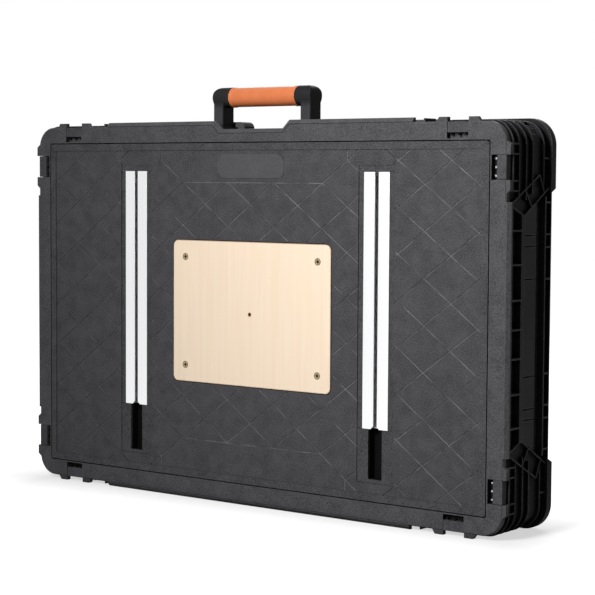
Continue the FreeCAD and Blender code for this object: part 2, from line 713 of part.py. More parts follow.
def clip_tabs():
    """Tabs of the top right bumper that fill its two clip windows, with small nubs in the dark slot."""
    reach = CLIP_SIZE / 2 - CLIP_GAP
    inner_x, inner_w = SEAM_X + SEAM_GAP + CLIP_SLOT, SEAM_W + SEAM_GAP + CLIP_SLOT
    outer_x, outer_w = CORNER_X - CLIP_GAP, CORNER_W - CLIP_GAP
    back = WALL_FRONT + 1
    nub_depth = (CLIP_GAP + RIM_DEPTH) / 2
    tabs = [block(inner_x, outer_x, CLIP_GAP, WALL_FRONT, CLIP_ON_END - reach, CLIP_ON_END + reach),
            block(WALL_X + FIT, outer_x, CLIP_GAP, back, CLIP_ON_END - reach, CLIP_ON_END + reach),
            block(CLIP_ON_LONG - reach, CLIP_ON_LONG + reach, CLIP_GAP, WALL_FRONT, inner_w, outer_w),
            block(CLIP_ON_LONG - reach, CLIP_ON_LONG + reach, CLIP_GAP, back, WALL_W + FIT, outer_w)]
    for step in (-1, 0, 1):
        shift = step * NUB_PITCH
        tabs.append(rod((inner_x, nub_depth, CLIP_ON_END + shift), (-1, 0, 0), NUB_RADIUS, NUB_LENGTH))
        tabs.append(rod((CLIP_ON_LONG + shift, nub_depth, inner_w), (0, 0, -1), NUB_RADIUS, NUB_LENGTH))
    return tabs


def bumper_rungs():
    """Short rungs of the top right bumper: a pair on each side of its clips, and one in front of the lip."""
    half = BUMPER_RIB / 2
    reach = CLIP_SIZE / 2 + half
    shifts = (-reach - BOSS_WIDTH, -reach, reach, reach + BOSS_WIDTH)
    rise = BUMPER_RIB_HEIGHT - BUMPER_RUNG_DROP
    top_x, top_w = CORNER_X + rise, CORNER_W + rise
    front = (WALL_FRONT, BUMPER_RUNG_BACK)
    back = (BUMPER_RIB_DEPTHS[-1], DEPTH - BUMPER_LIP)
    ends = [(front, CLIP_ON_END + s) for s in shifts] + [(back, HALF_H - BUMPER_BACK_RUNG)]
    longs = [(front, CLIP_ON_LONG + s) for s in shifts] + [(back, HALF_L - BUMPER_BACK_RUNG)]
    made = [block(WALL_X + FIT, top_x, d0, d1, w - half, w + half) for (d0, d1), w in ends]
    made += [block(x - half, x + half, d0, d1, WALL_W + FIT, top_w) for (d0, d1), x in longs]
    return made


def corner_bumper():
    """Top right corner: a ribbed shell with a lip at the back and gusset ribs at the ends of its arms."""
    inner = rounded_plate(WALL_X + FIT, WALL_W + FIT, WALL_RADIUS + FIT, 0, DEPTH + 1)
    skin = FIT + BUMPER_SHELL
    shell = rounded_plate(WALL_X + skin, WALL_W + skin, WALL_RADIUS + skin, WALL_FRONT, DEPTH)
    ribs = [rounded_plate(CORNER_X, CORNER_W, CORNER_RADIUS, WALL_FRONT, WALL_FRONT + BUMPER_RIB)]
    for d in BUMPER_RIB_DEPTHS:
        ribs.append(rounded_plate(CORNER_X + BUMPER_RIB_HEIGHT, CORNER_W + BUMPER_RIB_HEIGHT,
                                  CORNER_RADIUS + BUMPER_RIB_HEIGHT, d, d + BUMPER_RIB))
    lip = rounded_plate(HALF_L, HALF_H, CORNER_RADIUS + CORNER_SETBACK, DEPTH - BUMPER_LIP, DEPTH)
    end_arm, long_arm = bumper_arms(0)
    quarter = block(0, BIG, 0, DEPTH + 1, 0, BIG)
    arms = end_arm.fuse(long_arm)
    rib_zone = end_prism([(d, w + RIB_STOP) for d, w in bumper_edge(HALF_H, 0)], WALL_X - 1, HALF_L + 1).fuse(
        plan_prism([(x + RIB_STOP, d) for d, x in bumper_edge(HALF_L, 0)], WALL_W - 1, HALF_H + 1))
    body = fused([shell.common(arms), lip.common(arms), fused(ribs).common(rib_zone)]).common(quarter)
    gussets = [end_prism(s, WALL_X + FIT, CORNER_X + BUMPER_RIB_HEIGHT) for s in gusset_strips(HALF_H)]
    gussets += [plan_prism([(x, d) for d, x in s], WALL_W + FIT, CORNER_W + BUMPER_RIB_HEIGHT)
                for s in gusset_strips(HALF_L)]
    limits = block(0, BIG, WALL_FRONT, DEPTH, 0, BIG)
    gussets = [g.common(limits) for g in gussets]
    return fused([body.cut(inner)] + gussets + bumper_rungs() + clip_tabs())


# Side walls


def wall_corner():
    """Body outline that rounds off the ends of the walls inside the bumpers."""
    return rounded_plate(WALL_X, WALL_W, WALL_RADIUS, 0, DEPTH)


def wall_bands(rib):
    """Bands that run along a wall outside its skin, as (front, back, height)."""
    return [(RIDGE_FRONT, RIDGE_BACK, RIDGE_HEIGHT), (RIDGE_BACK, STRIP_BACK, STRIP_HEIGHT),
            (FIN_FRONT, FIN_FRONT + FIN_THICKNESS, FIN_HEIGHT),
            (WALL_BACK - rib, WALL_BACK, BACK_RUNG_HEIGHT)]


def end_wall():
    """Right end wall: skin, inward flange behind the rim, and the ribbed outside between the bumpers."""
    skin = block(WALL_X - WALL_SKIN, WALL_X, WALL_FRONT, WALL_BACK, -WALL_W, WALL_W)
    flange_end = WALL_W - WALL_SKIN - FIT
    flange = block(SEAM_X - FLANGE_OVERLAP, WALL_X, WALL_FRONT, FLANGE_BACK, -flange_end, flange_end)
    base = skin.fuse(flange).common(wall_corner())
    span = HALF_H - BUMPER_BACK_END
    outside = [block(WALL_X - 1, WALL_X + h, d0, d1, -span, span) for d0, d1, h in wall_bands(RUNG_THICKNESS)]
    half = RUNG_THICKNESS / 2
    for level in sorted({way * w for w in END_RUNG_LEVELS for way in (-1, 1)}):
        outside.append(block(WALL_X - 1, WALL_X + FRONT_RUNG_HEIGHT, WALL_FRONT, RIDGE_FRONT + 1,
                             level - half, level + half))
    for level in sorted({way * w for w in END_BACK_RUNG_LEVELS for way in (-1, 1)}):
        outside.append(block(WALL_X - 1, WALL_X + BACK_RUNG_HEIGHT, FIN_FRONT, WALL_BACK,
                             level - half, level + half))
    bands = fused(outside)
    grooves = []
    for level in STRIP_GROOVE_LEVELS:
        for way in (-1, 1):
            w = way * level
            grooves.append(block(WALL_X + STRIP_HEIGHT - STRIP_GROOVE, BIG, RIDGE_BACK + half, STRIP_BACK + 1,
                                 w - half, w + half))
    arm = end_prism(bumper_edge(HALF_H, FIT), WALL_X, BIG)
    bands = bands.cut(grooves + [arm, top_bottom(arm)])
    return fused([base, bands]).cut(body_screw_holes(SCREW_GAP)).removeSplitter()


def handle_bay_back():
    return HANDLE_DEPTH_LEVEL + POST_DEPTH / 2 + POST_FLANGE_MARGIN + FIT


def handle_shoulder():
    """Rounded shoulder of the top wall behind the right handle post."""
    top = WALL_W + SHOULDER_HEIGHT
    raised = block(SHOULDER_END, HANDLE_BAY_HALF, handle_bay_back(), STRIP_BACK, WALL_W - 1, top)
    inner = [e for e in edges_along(raised, 1) if e.CenterOfMass.x < SHOULDER_END + 1]
    return raised.makeFillet(SHOULDER_ROUND, [e for e in inner if e.CenterOfMass.z > HALF_H + WALL_W])


def long_wall(with_handle):
    """Top wall, or the bottom wall turned up: built like the end wall, with a bay for the handle."""
    edge = WALL_X - WALL_SKIN - FIT
    skin = block(-edge, edge, WALL_FRONT, WALL_BACK, WALL_W - WALL_SKIN, WALL_W)
    flange_edge = SEAM_X - FLANGE_OVERLAP - FIT
    flange = block(-flange_edge, flange_edge, WALL_FRONT, FLANGE_BACK, SEAM_W - FLANGE_OVERLAP, WALL_W)
    base = skin.fuse(flange).common(wall_corner())
    span = HALF_L - BUMPER_BACK_END
    outside = [block(-span, span, d0, d1, WALL_W - 1, WALL_W + h) for d0, d1, h in wall_bands(RUNG_THICKNESS)]
    half = RUNG_THICKNESS / 2
    count = int((HALF_L - BUMPER_END - LONG_RUNG_CLEAR) // LONG_RUNG_PITCH)
    for i in range(-count, count + 1):
        x = i * LONG_RUNG_PITCH
        outside.append(block(x - half, x + half, WALL_FRONT, RIDGE_FRONT + 1,
                             WALL_W - 1, WALL_W + FRONT_RUNG_HEIGHT))
        outside.append(block(x - half, x + half, FIN_FRONT, WALL_BACK, WALL_W - 1, WALL_W + BACK_RUNG_HEIGHT))
    bands = fused(outside)
    arm = plan_prism([(x, d) for d, x in bumper_edge(HALF_L, FIT)], WALL_W, BIG)
    cuts = [arm, left_right(arm)]
    holes = body_screw_holes(SCREW_GAP)
    if with_handle:
        bay, post_back = HANDLE_BAY_HALF, handle_bay_back()
        cuts.append(block(-bay, bay, WALL_FRONT, post_back, WALL_W, BIG))
        cuts.append(block(-SHOULDER_END, SHOULDER_END, post_back - 1, STRIP_BACK + 1, WALL_W, BIG))
        cuts.append(block(-bay, bay, STRIP_BACK, DEPTH, WALL_W + BAY_FIN_HEIGHT, BIG))
        base = fused([base, handle_shoulder(), left_right(handle_shoulder())])
        holes += [rod((x, d, WALL_W - WALL_SKIN - 1), (0, 0, 1), POST_SCREW_RADIUS + SCREW_GAP, WALL_SKIN + 2)
                  for x, d in post_screw_places()]
    return fused([base, bands.cut(cuts)]).cut(holes).removeSplitter()


# Carry handle


def post_middle():
    return HANDLE_WIDTH / 2 - POST_WIDTH / 2


def post_screw_places():
    half = POST_SCREW_SPACING / 2
    return [(side * post_middle(), HANDLE_DEPTH_LEVEL + way * half) for side in (-1, 1) for way in (-1, 1)]


def handle_post():
    """Right handle post: a flanged upright with a barrel that holds the grip and the core rod."""
    half_d = POST_DEPTH / 2
    inner, outer = HANDLE_WIDTH / 2 - POST_WIDTH, HANDLE_WIDTH / 2
    level = HANDLE_DEPTH_LEVEL
    upright = block(inner, outer, level - half_d, level + half_d, WALL_W + FIT, HANDLE_AXIS)
    upright = upright.makeChamfer(POST_CHAMFER, edges_along(upright, 2))
    margin = POST_FLANGE_MARGIN
    flange = block(inner - margin, outer + margin, level - half_d - margin, level + half_d + margin,
                   WALL_W + FIT, WALL_W + FIT + POST_FLANGE)
    barrel_start = GRIP_LENGTH / 2
    barrel = rod((barrel_start, level, HANDLE_AXIS), (1, 0, 0), BARREL_RADIUS, outer - barrel_start)
    top = HANDLE_AXIS + BARREL_RADIUS
    corner = block(outer - BARREL_ROUND, outer + 1, 0, DEPTH, top - BARREL_ROUND, top + 1)
    corner = corner.cut(rod((outer - BARREL_ROUND, 0, top - BARREL_ROUND), (0, 1, 0), BARREL_ROUND, DEPTH))
    post = fused([upright, flange, barrel]).cut(corner)
    mouth = (barrel_start - 1, level, HANDLE_AXIS)
    seat = rod(mouth, (1, 0, 0), GRIP_RADIUS - GRIP_STEP + FIT, GRIP_SEAT + 1)
    bore = rod(mouth, (1, 0, 0), CORE_ROD_RADIUS + LEG_FIT, ROD_SEAT + 1)
    screw_depth = POST_SCREW_LENGTH - WALL_SKIN
    holes = [rod((x, d, WALL_W), (0, 0, 1), POST_SCREW_RADIUS + SCREW_GAP, screw_depth + 1)
             for x, d in post_screw_places() if x > 0]
    return post.cut([seat, bore] + holes)


def handle_grip():
    """Grip sleeve with a ring at each end and stepped ends that seat inside the barrels."""
    half = GRIP_LENGTH / 2 - FIT
    level = HANDLE_DEPTH_LEVEL
    body = rod((-half, level, HANDLE_AXIS), (1, 0, 0), GRIP_RADIUS, 2 * half)
    reach = GRIP_LENGTH / 2 + GRIP_SEAT - FIT
    spigot = rod((-reach, level, HANDLE_AXIS), (1, 0, 0), GRIP_RADIUS - GRIP_STEP, 2 * reach)
    hole = rod((-reach - 1, level, HANDLE_AXIS), (1, 0, 0), CORE_ROD_RADIUS + LEG_FIT, 2 * reach + 2)
    rings = [rod((x, level, HANDLE_AXIS), (1, 0, 0), GRIP_RADIUS + GRIP_RING_RISE, GRIP_RING)
             for x in (-half, half - GRIP_RING)]
    return fused([body, spigot] + rings).cut(hole)


def handle_core_rod():
    reach = GRIP_LENGTH / 2 + ROD_SEAT - FIT
    return rod((-reach, HANDLE_DEPTH_LEVEL, HANDLE_AXIS), (1, 0, 0), CORE_ROD_RADIUS, 2 * reach)


def handle_screws():
    """Screws that come up through the top wall into the posts."""
    made = []
    under = WALL_W - WALL_SKIN
    for x, d in post_screw_places():
        head = rod((x, d, under - BODY_SCREW_HEAD_HEIGHT), (0, 0, 1), POST_SCREW_HEAD, BODY_SCREW_HEAD_HEIGHT)
        shank = rod((x, d, under), (0, 0, 1), POST_SCREW_RADIUS, POST_SCREW_LENGTH - FIT)
        made.append(head.fuse(shank))
    return Part.makeCompound(made)


# Folding legs. Each is built for the left frame, whose hinge is at minus HINGE_X and whose legs
# lie towards plus X. "along" is the distance from the hinge axis towards the foot.


def along(distance):
    return -HINGE_X + distance


def hinge_rod(w0, w1, radius):
    return rod((-HINGE_X, HINGE_LEVEL, w0), (0, 0, 1), radius, w1 - w0)


def torque_tube(half_span):
    return hinge_rod(-half_span, half_span, TUBE_RADIUS).cut(
        hinge_rod(-half_span - 1, half_span + 1, TUBE_RADIUS - TUBE_WALL))


def leg_box(start, end, depth, width, lane):
    """Box around the leg's centre line in one lane."""
    return block(along(start), along(end), HINGE_LEVEL - depth / 2, HINGE_LEVEL + depth / 2,
                 lane - width / 2, lane + width / 2)


def knuckle(lane):
    """Moulded knuckle that clamps the torque tube and takes the top of a leg."""
    half = KNUCKLE_WIDTH / 2
    nose = hinge_rod(lane - half, lane + half, KNUCKLE_RADIUS)
    arm = leg_box(0, KNUCKLE_REACH, 2 * KNUCKLE_RADIUS, KNUCKLE_WIDTH, lane)
    bore = hinge_rod(lane - half - 1, lane + half + 1, TUBE_RADIUS + BEARING_GAP)
    socket_start = KNUCKLE_REACH - LEG_SOCKET
    socket = leg_box(socket_start - LEG_FIT, KNUCKLE_REACH + 1,
                     LEG_DEPTH + 2 * LEG_FIT, LEG_WIDTH + 2 * LEG_FIT, lane)
    end_edges = [e for e in edges_along(arm, 2) if e.CenterOfMass.x > along(0)]
    arm = arm.makeFillet(KNUCKLE_ROUND, end_edges)
    return nose.fuse(arm).removeSplitter().cut([bore, socket])


def leg_tube(lane):
    start = KNUCKLE_REACH - LEG_SOCKET
    tube = leg_box(start, LEG_END, LEG_DEPTH, LEG_WIDTH, lane)
    tube = tube.makeFillet(LEG_ROUND, edges_along(tube, 0))
    inside = leg_box(start - 1, LEG_END + 1, LEG_DEPTH - 2 * LEG_WALL, LEG_WIDTH - 2 * LEG_WALL, lane)
    return tube.cut(inside)


def extension_size():
    trim = 2 * LEG_WALL + 2 * SLIDE_GAP
    return LEG_DEPTH - trim, LEG_WIDTH - trim


def collar(lane):
    """Clamp collar on the end of the leg tube, with a boss for the clamp knob."""
    depth, width = extension_size()
    body = leg_box(COLLAR_START, COLLAR_END, LEG_DEPTH + 2 * COLLAR_WALL, LEG_WIDTH + 2 * COLLAR_WALL, lane)
    body = body.makeFillet(COLLAR_WALL, edges_along(body, 0))
    top = HINGE_LEVEL + LEG_DEPTH / 2 + COLLAR_WALL
    boss = rod((knob_place(), top - 1, lane), (0, 1, 0), KNOB_BOSS_RADIUS, KNOB_BOSS_HEIGHT + 1)
    upper = leg_box(COLLAR_START - 1, LEG_END + LEG_FIT,
                    LEG_DEPTH + 2 * LEG_FIT, LEG_WIDTH + 2 * LEG_FIT, lane)
    lower = leg_box(LEG_END, COLLAR_END + 1, depth + 2 * SLIDE_GAP, width + 2 * SLIDE_GAP, lane)
    hole = rod((knob_place(), HINGE_LEVEL, lane), (0, 1, 0), KNOB_STUD_RADIUS + KNOB_STUD_GAP, BIG)
    return body.fuse(boss).cut([upper, lower, hole])


def knob_place():
    return along((LEG_END + COLLAR_END) / 2)


def clamp_knob(lane):
    """Lobed knob with its stud, which presses on the sliding leg."""
    depth, _ = extension_size()
    tip = HINGE_LEVEL + depth / 2 + SLIDE_GAP / 2
    seat = HINGE_LEVEL + LEG_DEPTH / 2 + COLLAR_WALL + KNOB_BOSS_HEIGHT + KNOB_CLEAR
    x = knob_place()
    hub = rod((x, seat, lane), (0, 1, 0), KNOB_RADIUS - KNOB_LOBE_RADIUS / 2, KNOB_HEIGHT)
    scallops = []
    for i in range(KNOB_LOBES):
        turn = 2 * math.pi * (i + 0.5) / KNOB_LOBES
        ring = KNOB_RADIUS - KNOB_LOBE_RADIUS
        lobe = rod((x + ring * math.cos(turn), seat, lane + ring * math.sin(turn)), (0, 1, 0),
                   KNOB_LOBE_RADIUS, KNOB_HEIGHT)
        scallops.append(lobe)
    stud = rod((x, tip, lane), (0, 1, 0), KNOB_STUD_RADIUS, seat - tip + 1)
    return fused([hub] + scallops + [stud])


def extension(lane):
    depth, width = extension_size()
    end = LEG_LENGTH - FOOT_CUP
    tube = leg_box(EXTENSION_START, end, depth, width, lane)
    tube = tube.makeFillet(LEG_ROUND, edges_along(tube, 0))
    inside = leg_box(EXTENSION_START - 1, end + 1, depth - 2 * LEG_WALL, width - 2 * LEG_WALL, lane)
    return tube.cut(inside)


def foot(lane):
    """Rubber foot, a rounded cup over the end of the sliding leg."""
    depth, width = extension_size()
    cup = leg_box(LEG_LENGTH - FOOT_HEIGHT, LEG_LENGTH, LEG_DEPTH, LEG_WIDTH, lane)
    cup = cup.makeFillet(FOOT_ROUND, edges_along(cup, 0))
    socket = leg_box(LEG_LENGTH - FOOT_HEIGHT - 1, LEG_LENGTH - FOOT_CUP + LEG_FIT, depth + 2 * LEG_FIT,
                     width + 2 * LEG_FIT, lane)
    return cup.cut(socket)


def spreader():
    """Cross member between the inner legs, an open channel with stiffening ribs."""
    half = INNER_LANE - LEG_WIDTH / 2
    bar = leg_box(SPREADER_NEAR, SPREADER_FAR, SPREADER_DEPTH, 2 * half, 0)
    low, high = HINGE_LEVEL - SPREADER_DEPTH / 2, HINGE_LEVEL + SPREADER_DEPTH / 2
    bay = 2 * half / (SPREADER_RIB_COUNT + 1)
    wall = SPREADER_WALL
    pockets = []
    for i in range(SPREADER_RIB_COUNT + 1):
        w0 = -half + i * bay + wall
        pockets.append(block(along(SPREADER_NEAR + wall), along(SPREADER_FAR - wall), low + wall, high + 1,
                             w0, w0 + bay - 2 * wall))
    return bar.cut(pockets)


# Hinge brackets and fold locks, for the left frame


def hinge_bracket(w0, base_way):
    """Ear with a bearing for the torque tube, on a base against the end wall."""
    w1 = w0 + BRACKET_THICKNESS
    wall = -(WALL_X - WALL_SKIN)
    ear = hinge_rod(w0, w1, BRACKET_RADIUS)
    web = block(wall, -HINGE_X, HINGE_LEVEL - BRACKET_RADIUS, HINGE_LEVEL + BRACKET_RADIUS, w0, w1)
    near = w1 if base_way < 0 else w0
    base = block(wall, wall + BRACKET_BASE, HINGE_LEVEL - BRACKET_BASE_DEPTH / 2,
                 HINGE_LEVEL + BRACKET_BASE_DEPTH / 2, near, near + base_way * BRACKET_BASE_WIDTH)
    bore = hinge_rod(w0 - 1, w1 + 1, TUBE_RADIUS + BEARING_GAP)
    return fused([ear, web, base]).cut(bore)


def lock_disc():
    """Notched sector on the torque tube: one notch for the folded leg, one for the open leg.

    The sector ends a margin past each notch, so that it swings clear of the end wall.
    """
    w0, w1 = LOCK_DISC_LEVEL, LOCK_DISC_LEVEL + LOCK_DISC_THICKNESS
    spread = [math.radians(a) for a in (LOCK_SECTOR_MARGIN, -OPEN_ANGLE / 2, -OPEN_ANGLE - LOCK_SECTOR_MARGIN)]
    reach = 2 * LOCK_DISC_RADIUS
    wedge = [(-HINGE_X, HINGE_LEVEL)]
    wedge += [(along(reach * math.cos(a)), HINGE_LEVEL + reach * math.sin(a)) for a in spread]
    sector = hinge_rod(w0, w1, LOCK_DISC_RADIUS).common(plan_prism(wedge, w0, w1))
    disc = sector.fuse(hinge_rod(w0, w1, LOCK_HUB_RADIUS)).removeSplitter()
    half = LOCK_PIN_RADIUS + LOCK_NOTCH_GAP
    floor, rim = LOCK_DISC_RADIUS - LOCK_NOTCH_DEPTH, LOCK_DISC_RADIUS + 1
    folded = block(along(floor), along(rim), HINGE_LEVEL - half, HINGE_LEVEL + half, w0 - 1, w1 + 1)
    opened = folded.copy()
    opened.rotate(Vector(-HINGE_X, FRONT_Y + HINGE_LEVEL, 0), Vector(0, 0, 1), -OPEN_ANGLE)
    return disc.cut([folded, opened, hinge_rod(w0 - 1, w1 + 1, TUBE_RADIUS + BEARING_GAP)])


def lock_middle():
    return LOCK_DISC_LEVEL + LOCK_DISC_THICKNESS / 2


def lock_housing_start():
    return LOCK_DISC_RADIUS + LOCK_PARK * 2


def lock_bracket():
    """Plate beside the lock disc that carries the tube and the housing of the lock pin."""
    w0 = LOCK_DISC_LEVEL + LOCK_DISC_THICKNESS + LOCK_DISC_GAP
    w1 = w0 + LOCK_PLATE
    wall = -(WALL_X - WALL_SKIN)
    start, end = lock_housing_start(), lock_housing_start() + LOCK_HOUSING
    half = LOCK_HOUSING_HALF
    plate = block(wall, along(end), HINGE_LEVEL - half, HINGE_LEVEL + half, w0, w1)
    ear = hinge_rod(w0, w1, BRACKET_RADIUS)
    base = block(wall, wall + BRACKET_BASE, HINGE_LEVEL - BRACKET_BASE_DEPTH / 2,
                 HINGE_LEVEL + BRACKET_BASE_DEPTH / 2, w0, w0 + BRACKET_BASE_WIDTH)
    housing = block(along(start), along(end), HINGE_LEVEL - half, HINGE_LEVEL + half,
                    lock_middle() - half, w1)
    bore = hinge_rod(w0 - 1, w1 + 1, TUBE_RADIUS + BEARING_GAP)
    guide = rod((along(start - 1), HINGE_LEVEL, lock_middle()), (1, 0, 0), LOCK_PIN_RADIUS + LOCK_PIN_GAP,
                LOCK_HOUSING + 2)
    return fused([plate, ear, base, housing]).cut([bore, guide])


def lock_plunger():
    """Parked lock pin with its pull knob; it slides towards the disc to lock the leg."""
    tip = LOCK_DISC_RADIUS + LOCK_PARK
    face = lock_housing_start() + LOCK_HOUSING + LOCK_TRAVEL + LOCK_KNOB_GAP
    w = lock_middle()
    pin = rod((along(tip), HINGE_LEVEL, w), (1, 0, 0), LOCK_PIN_RADIUS, face - tip + 1)
    neck = rod((along(face), HINGE_LEVEL, w), (1, 0, 0), LOCK_NECK_RADIUS, LOCK_KNOB_LENGTH)
    grip_start = face + LOCK_KNOB_LENGTH / 2
    grip = rod((along(grip_start), HINGE_LEVEL, w), (1, 0, 0), LOCK_KNOB_RADIUS, LOCK_KNOB_LENGTH / 2)
    rims = [e for e in grip.Edges if e.Closed]
    grip = grip.makeChamfer(LOCK_KNOB_CHAMFER, rims)
    return fused([pin, neck, grip])


def leg_cradles():
    """Pairs of lugs behind the worktop that hold each folded leg by its sides."""
    lugs = []
    for lane, flip in ((OUTER_LANE, False), (INNER_LANE, True)):
        for way in (-1, 1):
            near = lane + way * (LEG_WIDTH / 2 + CRADLE_GAP)
            seat = FLANGE_BACK if near > SEAM_W - FLANGE_OVERLAP else PANEL_RIB_DEPTH
            lug = block(along(CRADLE_FROM_HINGE), along(CRADLE_FROM_HINGE + CRADLE_LENGTH), seat, CRADLE_TOP,
                        near, near + way * CRADLE_THICKNESS)
            lug = left_right(lug) if flip else lug
            lugs += [lug, top_bottom(lug)]
    return Part.makeCompound(lugs)


def body_screws():
    made = []
    for x, w in body_screw_places():
        shank = rod((x, BODY_SCREW_TIP, w), (0, 1, 0), BODY_SCREW_RADIUS, FLANGE_BACK - BODY_SCREW_TIP)
        head = rod((x, FLANGE_BACK, w), (0, 1, 0), BODY_SCREW_HEAD, BODY_SCREW_HEAD_HEIGHT)
        made.append(shank.fuse(head))
    return Part.makeCompound(made)


def body_nodes():
    """Worktop, rim, walls, bumpers, insert, rails and handle."""
    bumper, wall, post = corner_bumper(), end_wall(), handle_post()
    left_x, right_x = rail_places()
    return {
        "rim_frame": rim_frame(),
        "worktop_panel": worktop_panel(),
        "wood_insert": wood_insert(),
        "insert_screws": insert_screws(),
        "left_rail": rail(left_x),
        "right_rail": rail(right_x),
        "left_rail_bed": rail_bed(left_x),
        "right_rail_bed": rail_bed(right_x),
        "right_end_wall": wall,
        "left_end_wall": left_right(wall),
        "top_wall": long_wall(True),
        "bottom_wall": top_bottom(long_wall(False)),
        "bumper_top_right": bumper,
        "bumper_top_left": left_right(bumper),
        "bumper_bottom_right": top_bottom(bumper),
        "bumper_bottom_left": top_bottom(left_right(bumper)),
        "handle_right_post": post,
        "handle_left_post": left_right(post),
        "handle_grip": handle_grip(),
        "handle_core_rod": handle_core_rod(),
        "handle_screws": handle_screws(),
        "leg_cradles": leg_cradles(),
        "body_screws": body_screws(),
    }


def leg_nodes(side, lane, bracket_start, bracket_way, tube_half):
    """One leg frame with its brackets and lock, built on the left and mirrored for the right."""
    pieces = {
        "torque_tube": torque_tube(tube_half),
        "lock_disc": lock_disc(),
        "lock_bracket": lock_bracket(),
        "lock_plunger": lock_plunger(),
    }
    uppers = {
        "knuckle": knuckle(lane),
        "leg_tube": leg_tube(lane),
        "collar": collar(lane),
        "clamp_knob": clamp_knob(lane),
        "extension": extension(lane),
        "foot": foot(lane),
        "hinge_bracket": hinge_bracket(bracket_start, bracket_way),
    }
    for name, shape in uppers.items():
        pieces["upper_" + name] = shape
        pieces["lower_" + name] = top_bottom(shape)
    turn = left_right if side == "right" else (lambda shape: shape)
    return {side + "_" + name: turn(shape) for name, shape in pieces.items()}


def main():
    nodes = body_nodes()
    half_knuckle = KNUCKLE_WIDTH / 2
    outer_start = OUTER_LANE + half_knuckle + BRACKET_SIDE_GAP
    inner_start = INNER_LANE - half_knuckle - BRACKET_SIDE_GAP - BRACKET_THICKNESS
    nodes.update(leg_nodes("left", OUTER_LANE, outer_start, -1, outer_start + BRACKET_THICKNESS))
    nodes.update(leg_nodes("right", INNER_LANE, inner_start, -1, INNER_LANE + half_knuckle))
    nodes["right_spreader"] = left_right(spreader())
    os.makedirs("parts", exist_ok=True)
    for name, shape in nodes.items():
        bad = [s for s in shape.Solids if not s.isValid() or s.Volume <= 0]
        print(f"{name}: {len(shape.Solids)} solid(s), {shape.Volume / 1000:.1f} cm3, {len(bad)} bad")
        shape.exportStep(f"parts/{name}.step")


main()
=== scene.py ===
"""Looks of the folding workbench: finishes, rounded edges, small fasteners, floor, light and camera."""
import json
import math

import bmesh
import bpy
from mathutils import Matrix, Vector


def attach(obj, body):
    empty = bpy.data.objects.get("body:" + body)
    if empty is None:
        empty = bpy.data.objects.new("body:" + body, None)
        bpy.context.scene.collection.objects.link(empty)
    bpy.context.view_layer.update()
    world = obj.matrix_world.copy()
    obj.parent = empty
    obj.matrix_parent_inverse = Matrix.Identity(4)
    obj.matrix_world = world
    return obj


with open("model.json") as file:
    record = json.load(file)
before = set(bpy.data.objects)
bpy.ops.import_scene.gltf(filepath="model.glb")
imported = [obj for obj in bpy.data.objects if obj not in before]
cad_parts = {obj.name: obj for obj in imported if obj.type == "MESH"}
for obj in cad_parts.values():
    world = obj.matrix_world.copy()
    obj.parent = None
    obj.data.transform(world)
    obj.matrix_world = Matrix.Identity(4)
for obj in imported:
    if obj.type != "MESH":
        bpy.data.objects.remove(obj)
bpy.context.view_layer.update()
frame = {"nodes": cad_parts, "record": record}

# Camera of the photograph, in metres and degrees
CAMERA_PLACE = (1.6047, -2.0556, 0.4708)
CAMERA_AZIMUTH = 37.258
CAMERA_ELEVATION = 3.818
CAMERA_ROLL = 0.317
CAMERA_LENS = 109.40
CAMERA_SENSOR = 36.0

# Studio: a white floor that dims near the foot of the bench, and soft lamps as
# (place, aim, width, height, spread in degrees, watts)
FLOOR_SIZE = 14.0
FLOOR_ROUGH = 0.9
FOOT_HALF = (0.425, 0.059, 0.0)
FLOOR_FAR = 0.15
FLOOR_GLOW = 0.60
FLOOR_WHITE = (0.42, 0.42, 0.42, 1.0)
FLOOR_BOUNCE = (0.20, 0.20, 0.20, 1.0)
AMBIENT = 0.05
BENCH_MIDDLE = (0.0, 0.0, 0.28)
LAMPS = {
    "front_softbox": ((0.20, -1.60, 1.15), (0.42, 0.0, 0.44), 0.4, 0.9, 105.0, 14.0),
    "overhead_softbox": ((-0.2, 0.5, 2.4), BENCH_MIDDLE, 1.0, 1.0, 180.0, 11.0),
    "right_fill": ((2.4, 0.5, 1.0), (0.42, 0.0, 0.28), 0.8, 1.2, 120.0, 2.0),
    "back_fill": ((-0.9, 2.2, 1.6), BENCH_MIDDLE, 1.4, 1.4, 180.0, 32.0),
}

# Rounding of moulded and cut edges by material slot, in metres
EDGE_ROUND = {
    "charcoal_plastic": 0.0005,
    "black_plastic": 0.0005,
    "orange_plastic": 0.0008,
    "aluminium": 0.0004,
    "birch": 0.0005,
    "steel": 0.0003,
    "rubber": 0.0010,
}
EDGE_SEGMENTS = 2
FACE_WEIGHT = 100
PLAIN_EDGES = ("worktop_panel", "rim_frame", "left_lock_plunger", "right_lock_plunger")
FLAT_FACED = ("wood_insert",)
SHARP_ANGLE = math.radians(28.0)
FLAT_ANGLE = math.radians(0.4)
WELD_REACH = 0.000005

# Corners of the bench, with their ways along X and Z
CORNERS = {"top_left": (-1, 1), "top_right": (1, 1), "bottom_left": (-1, -1), "bottom_right": (1, -1)}

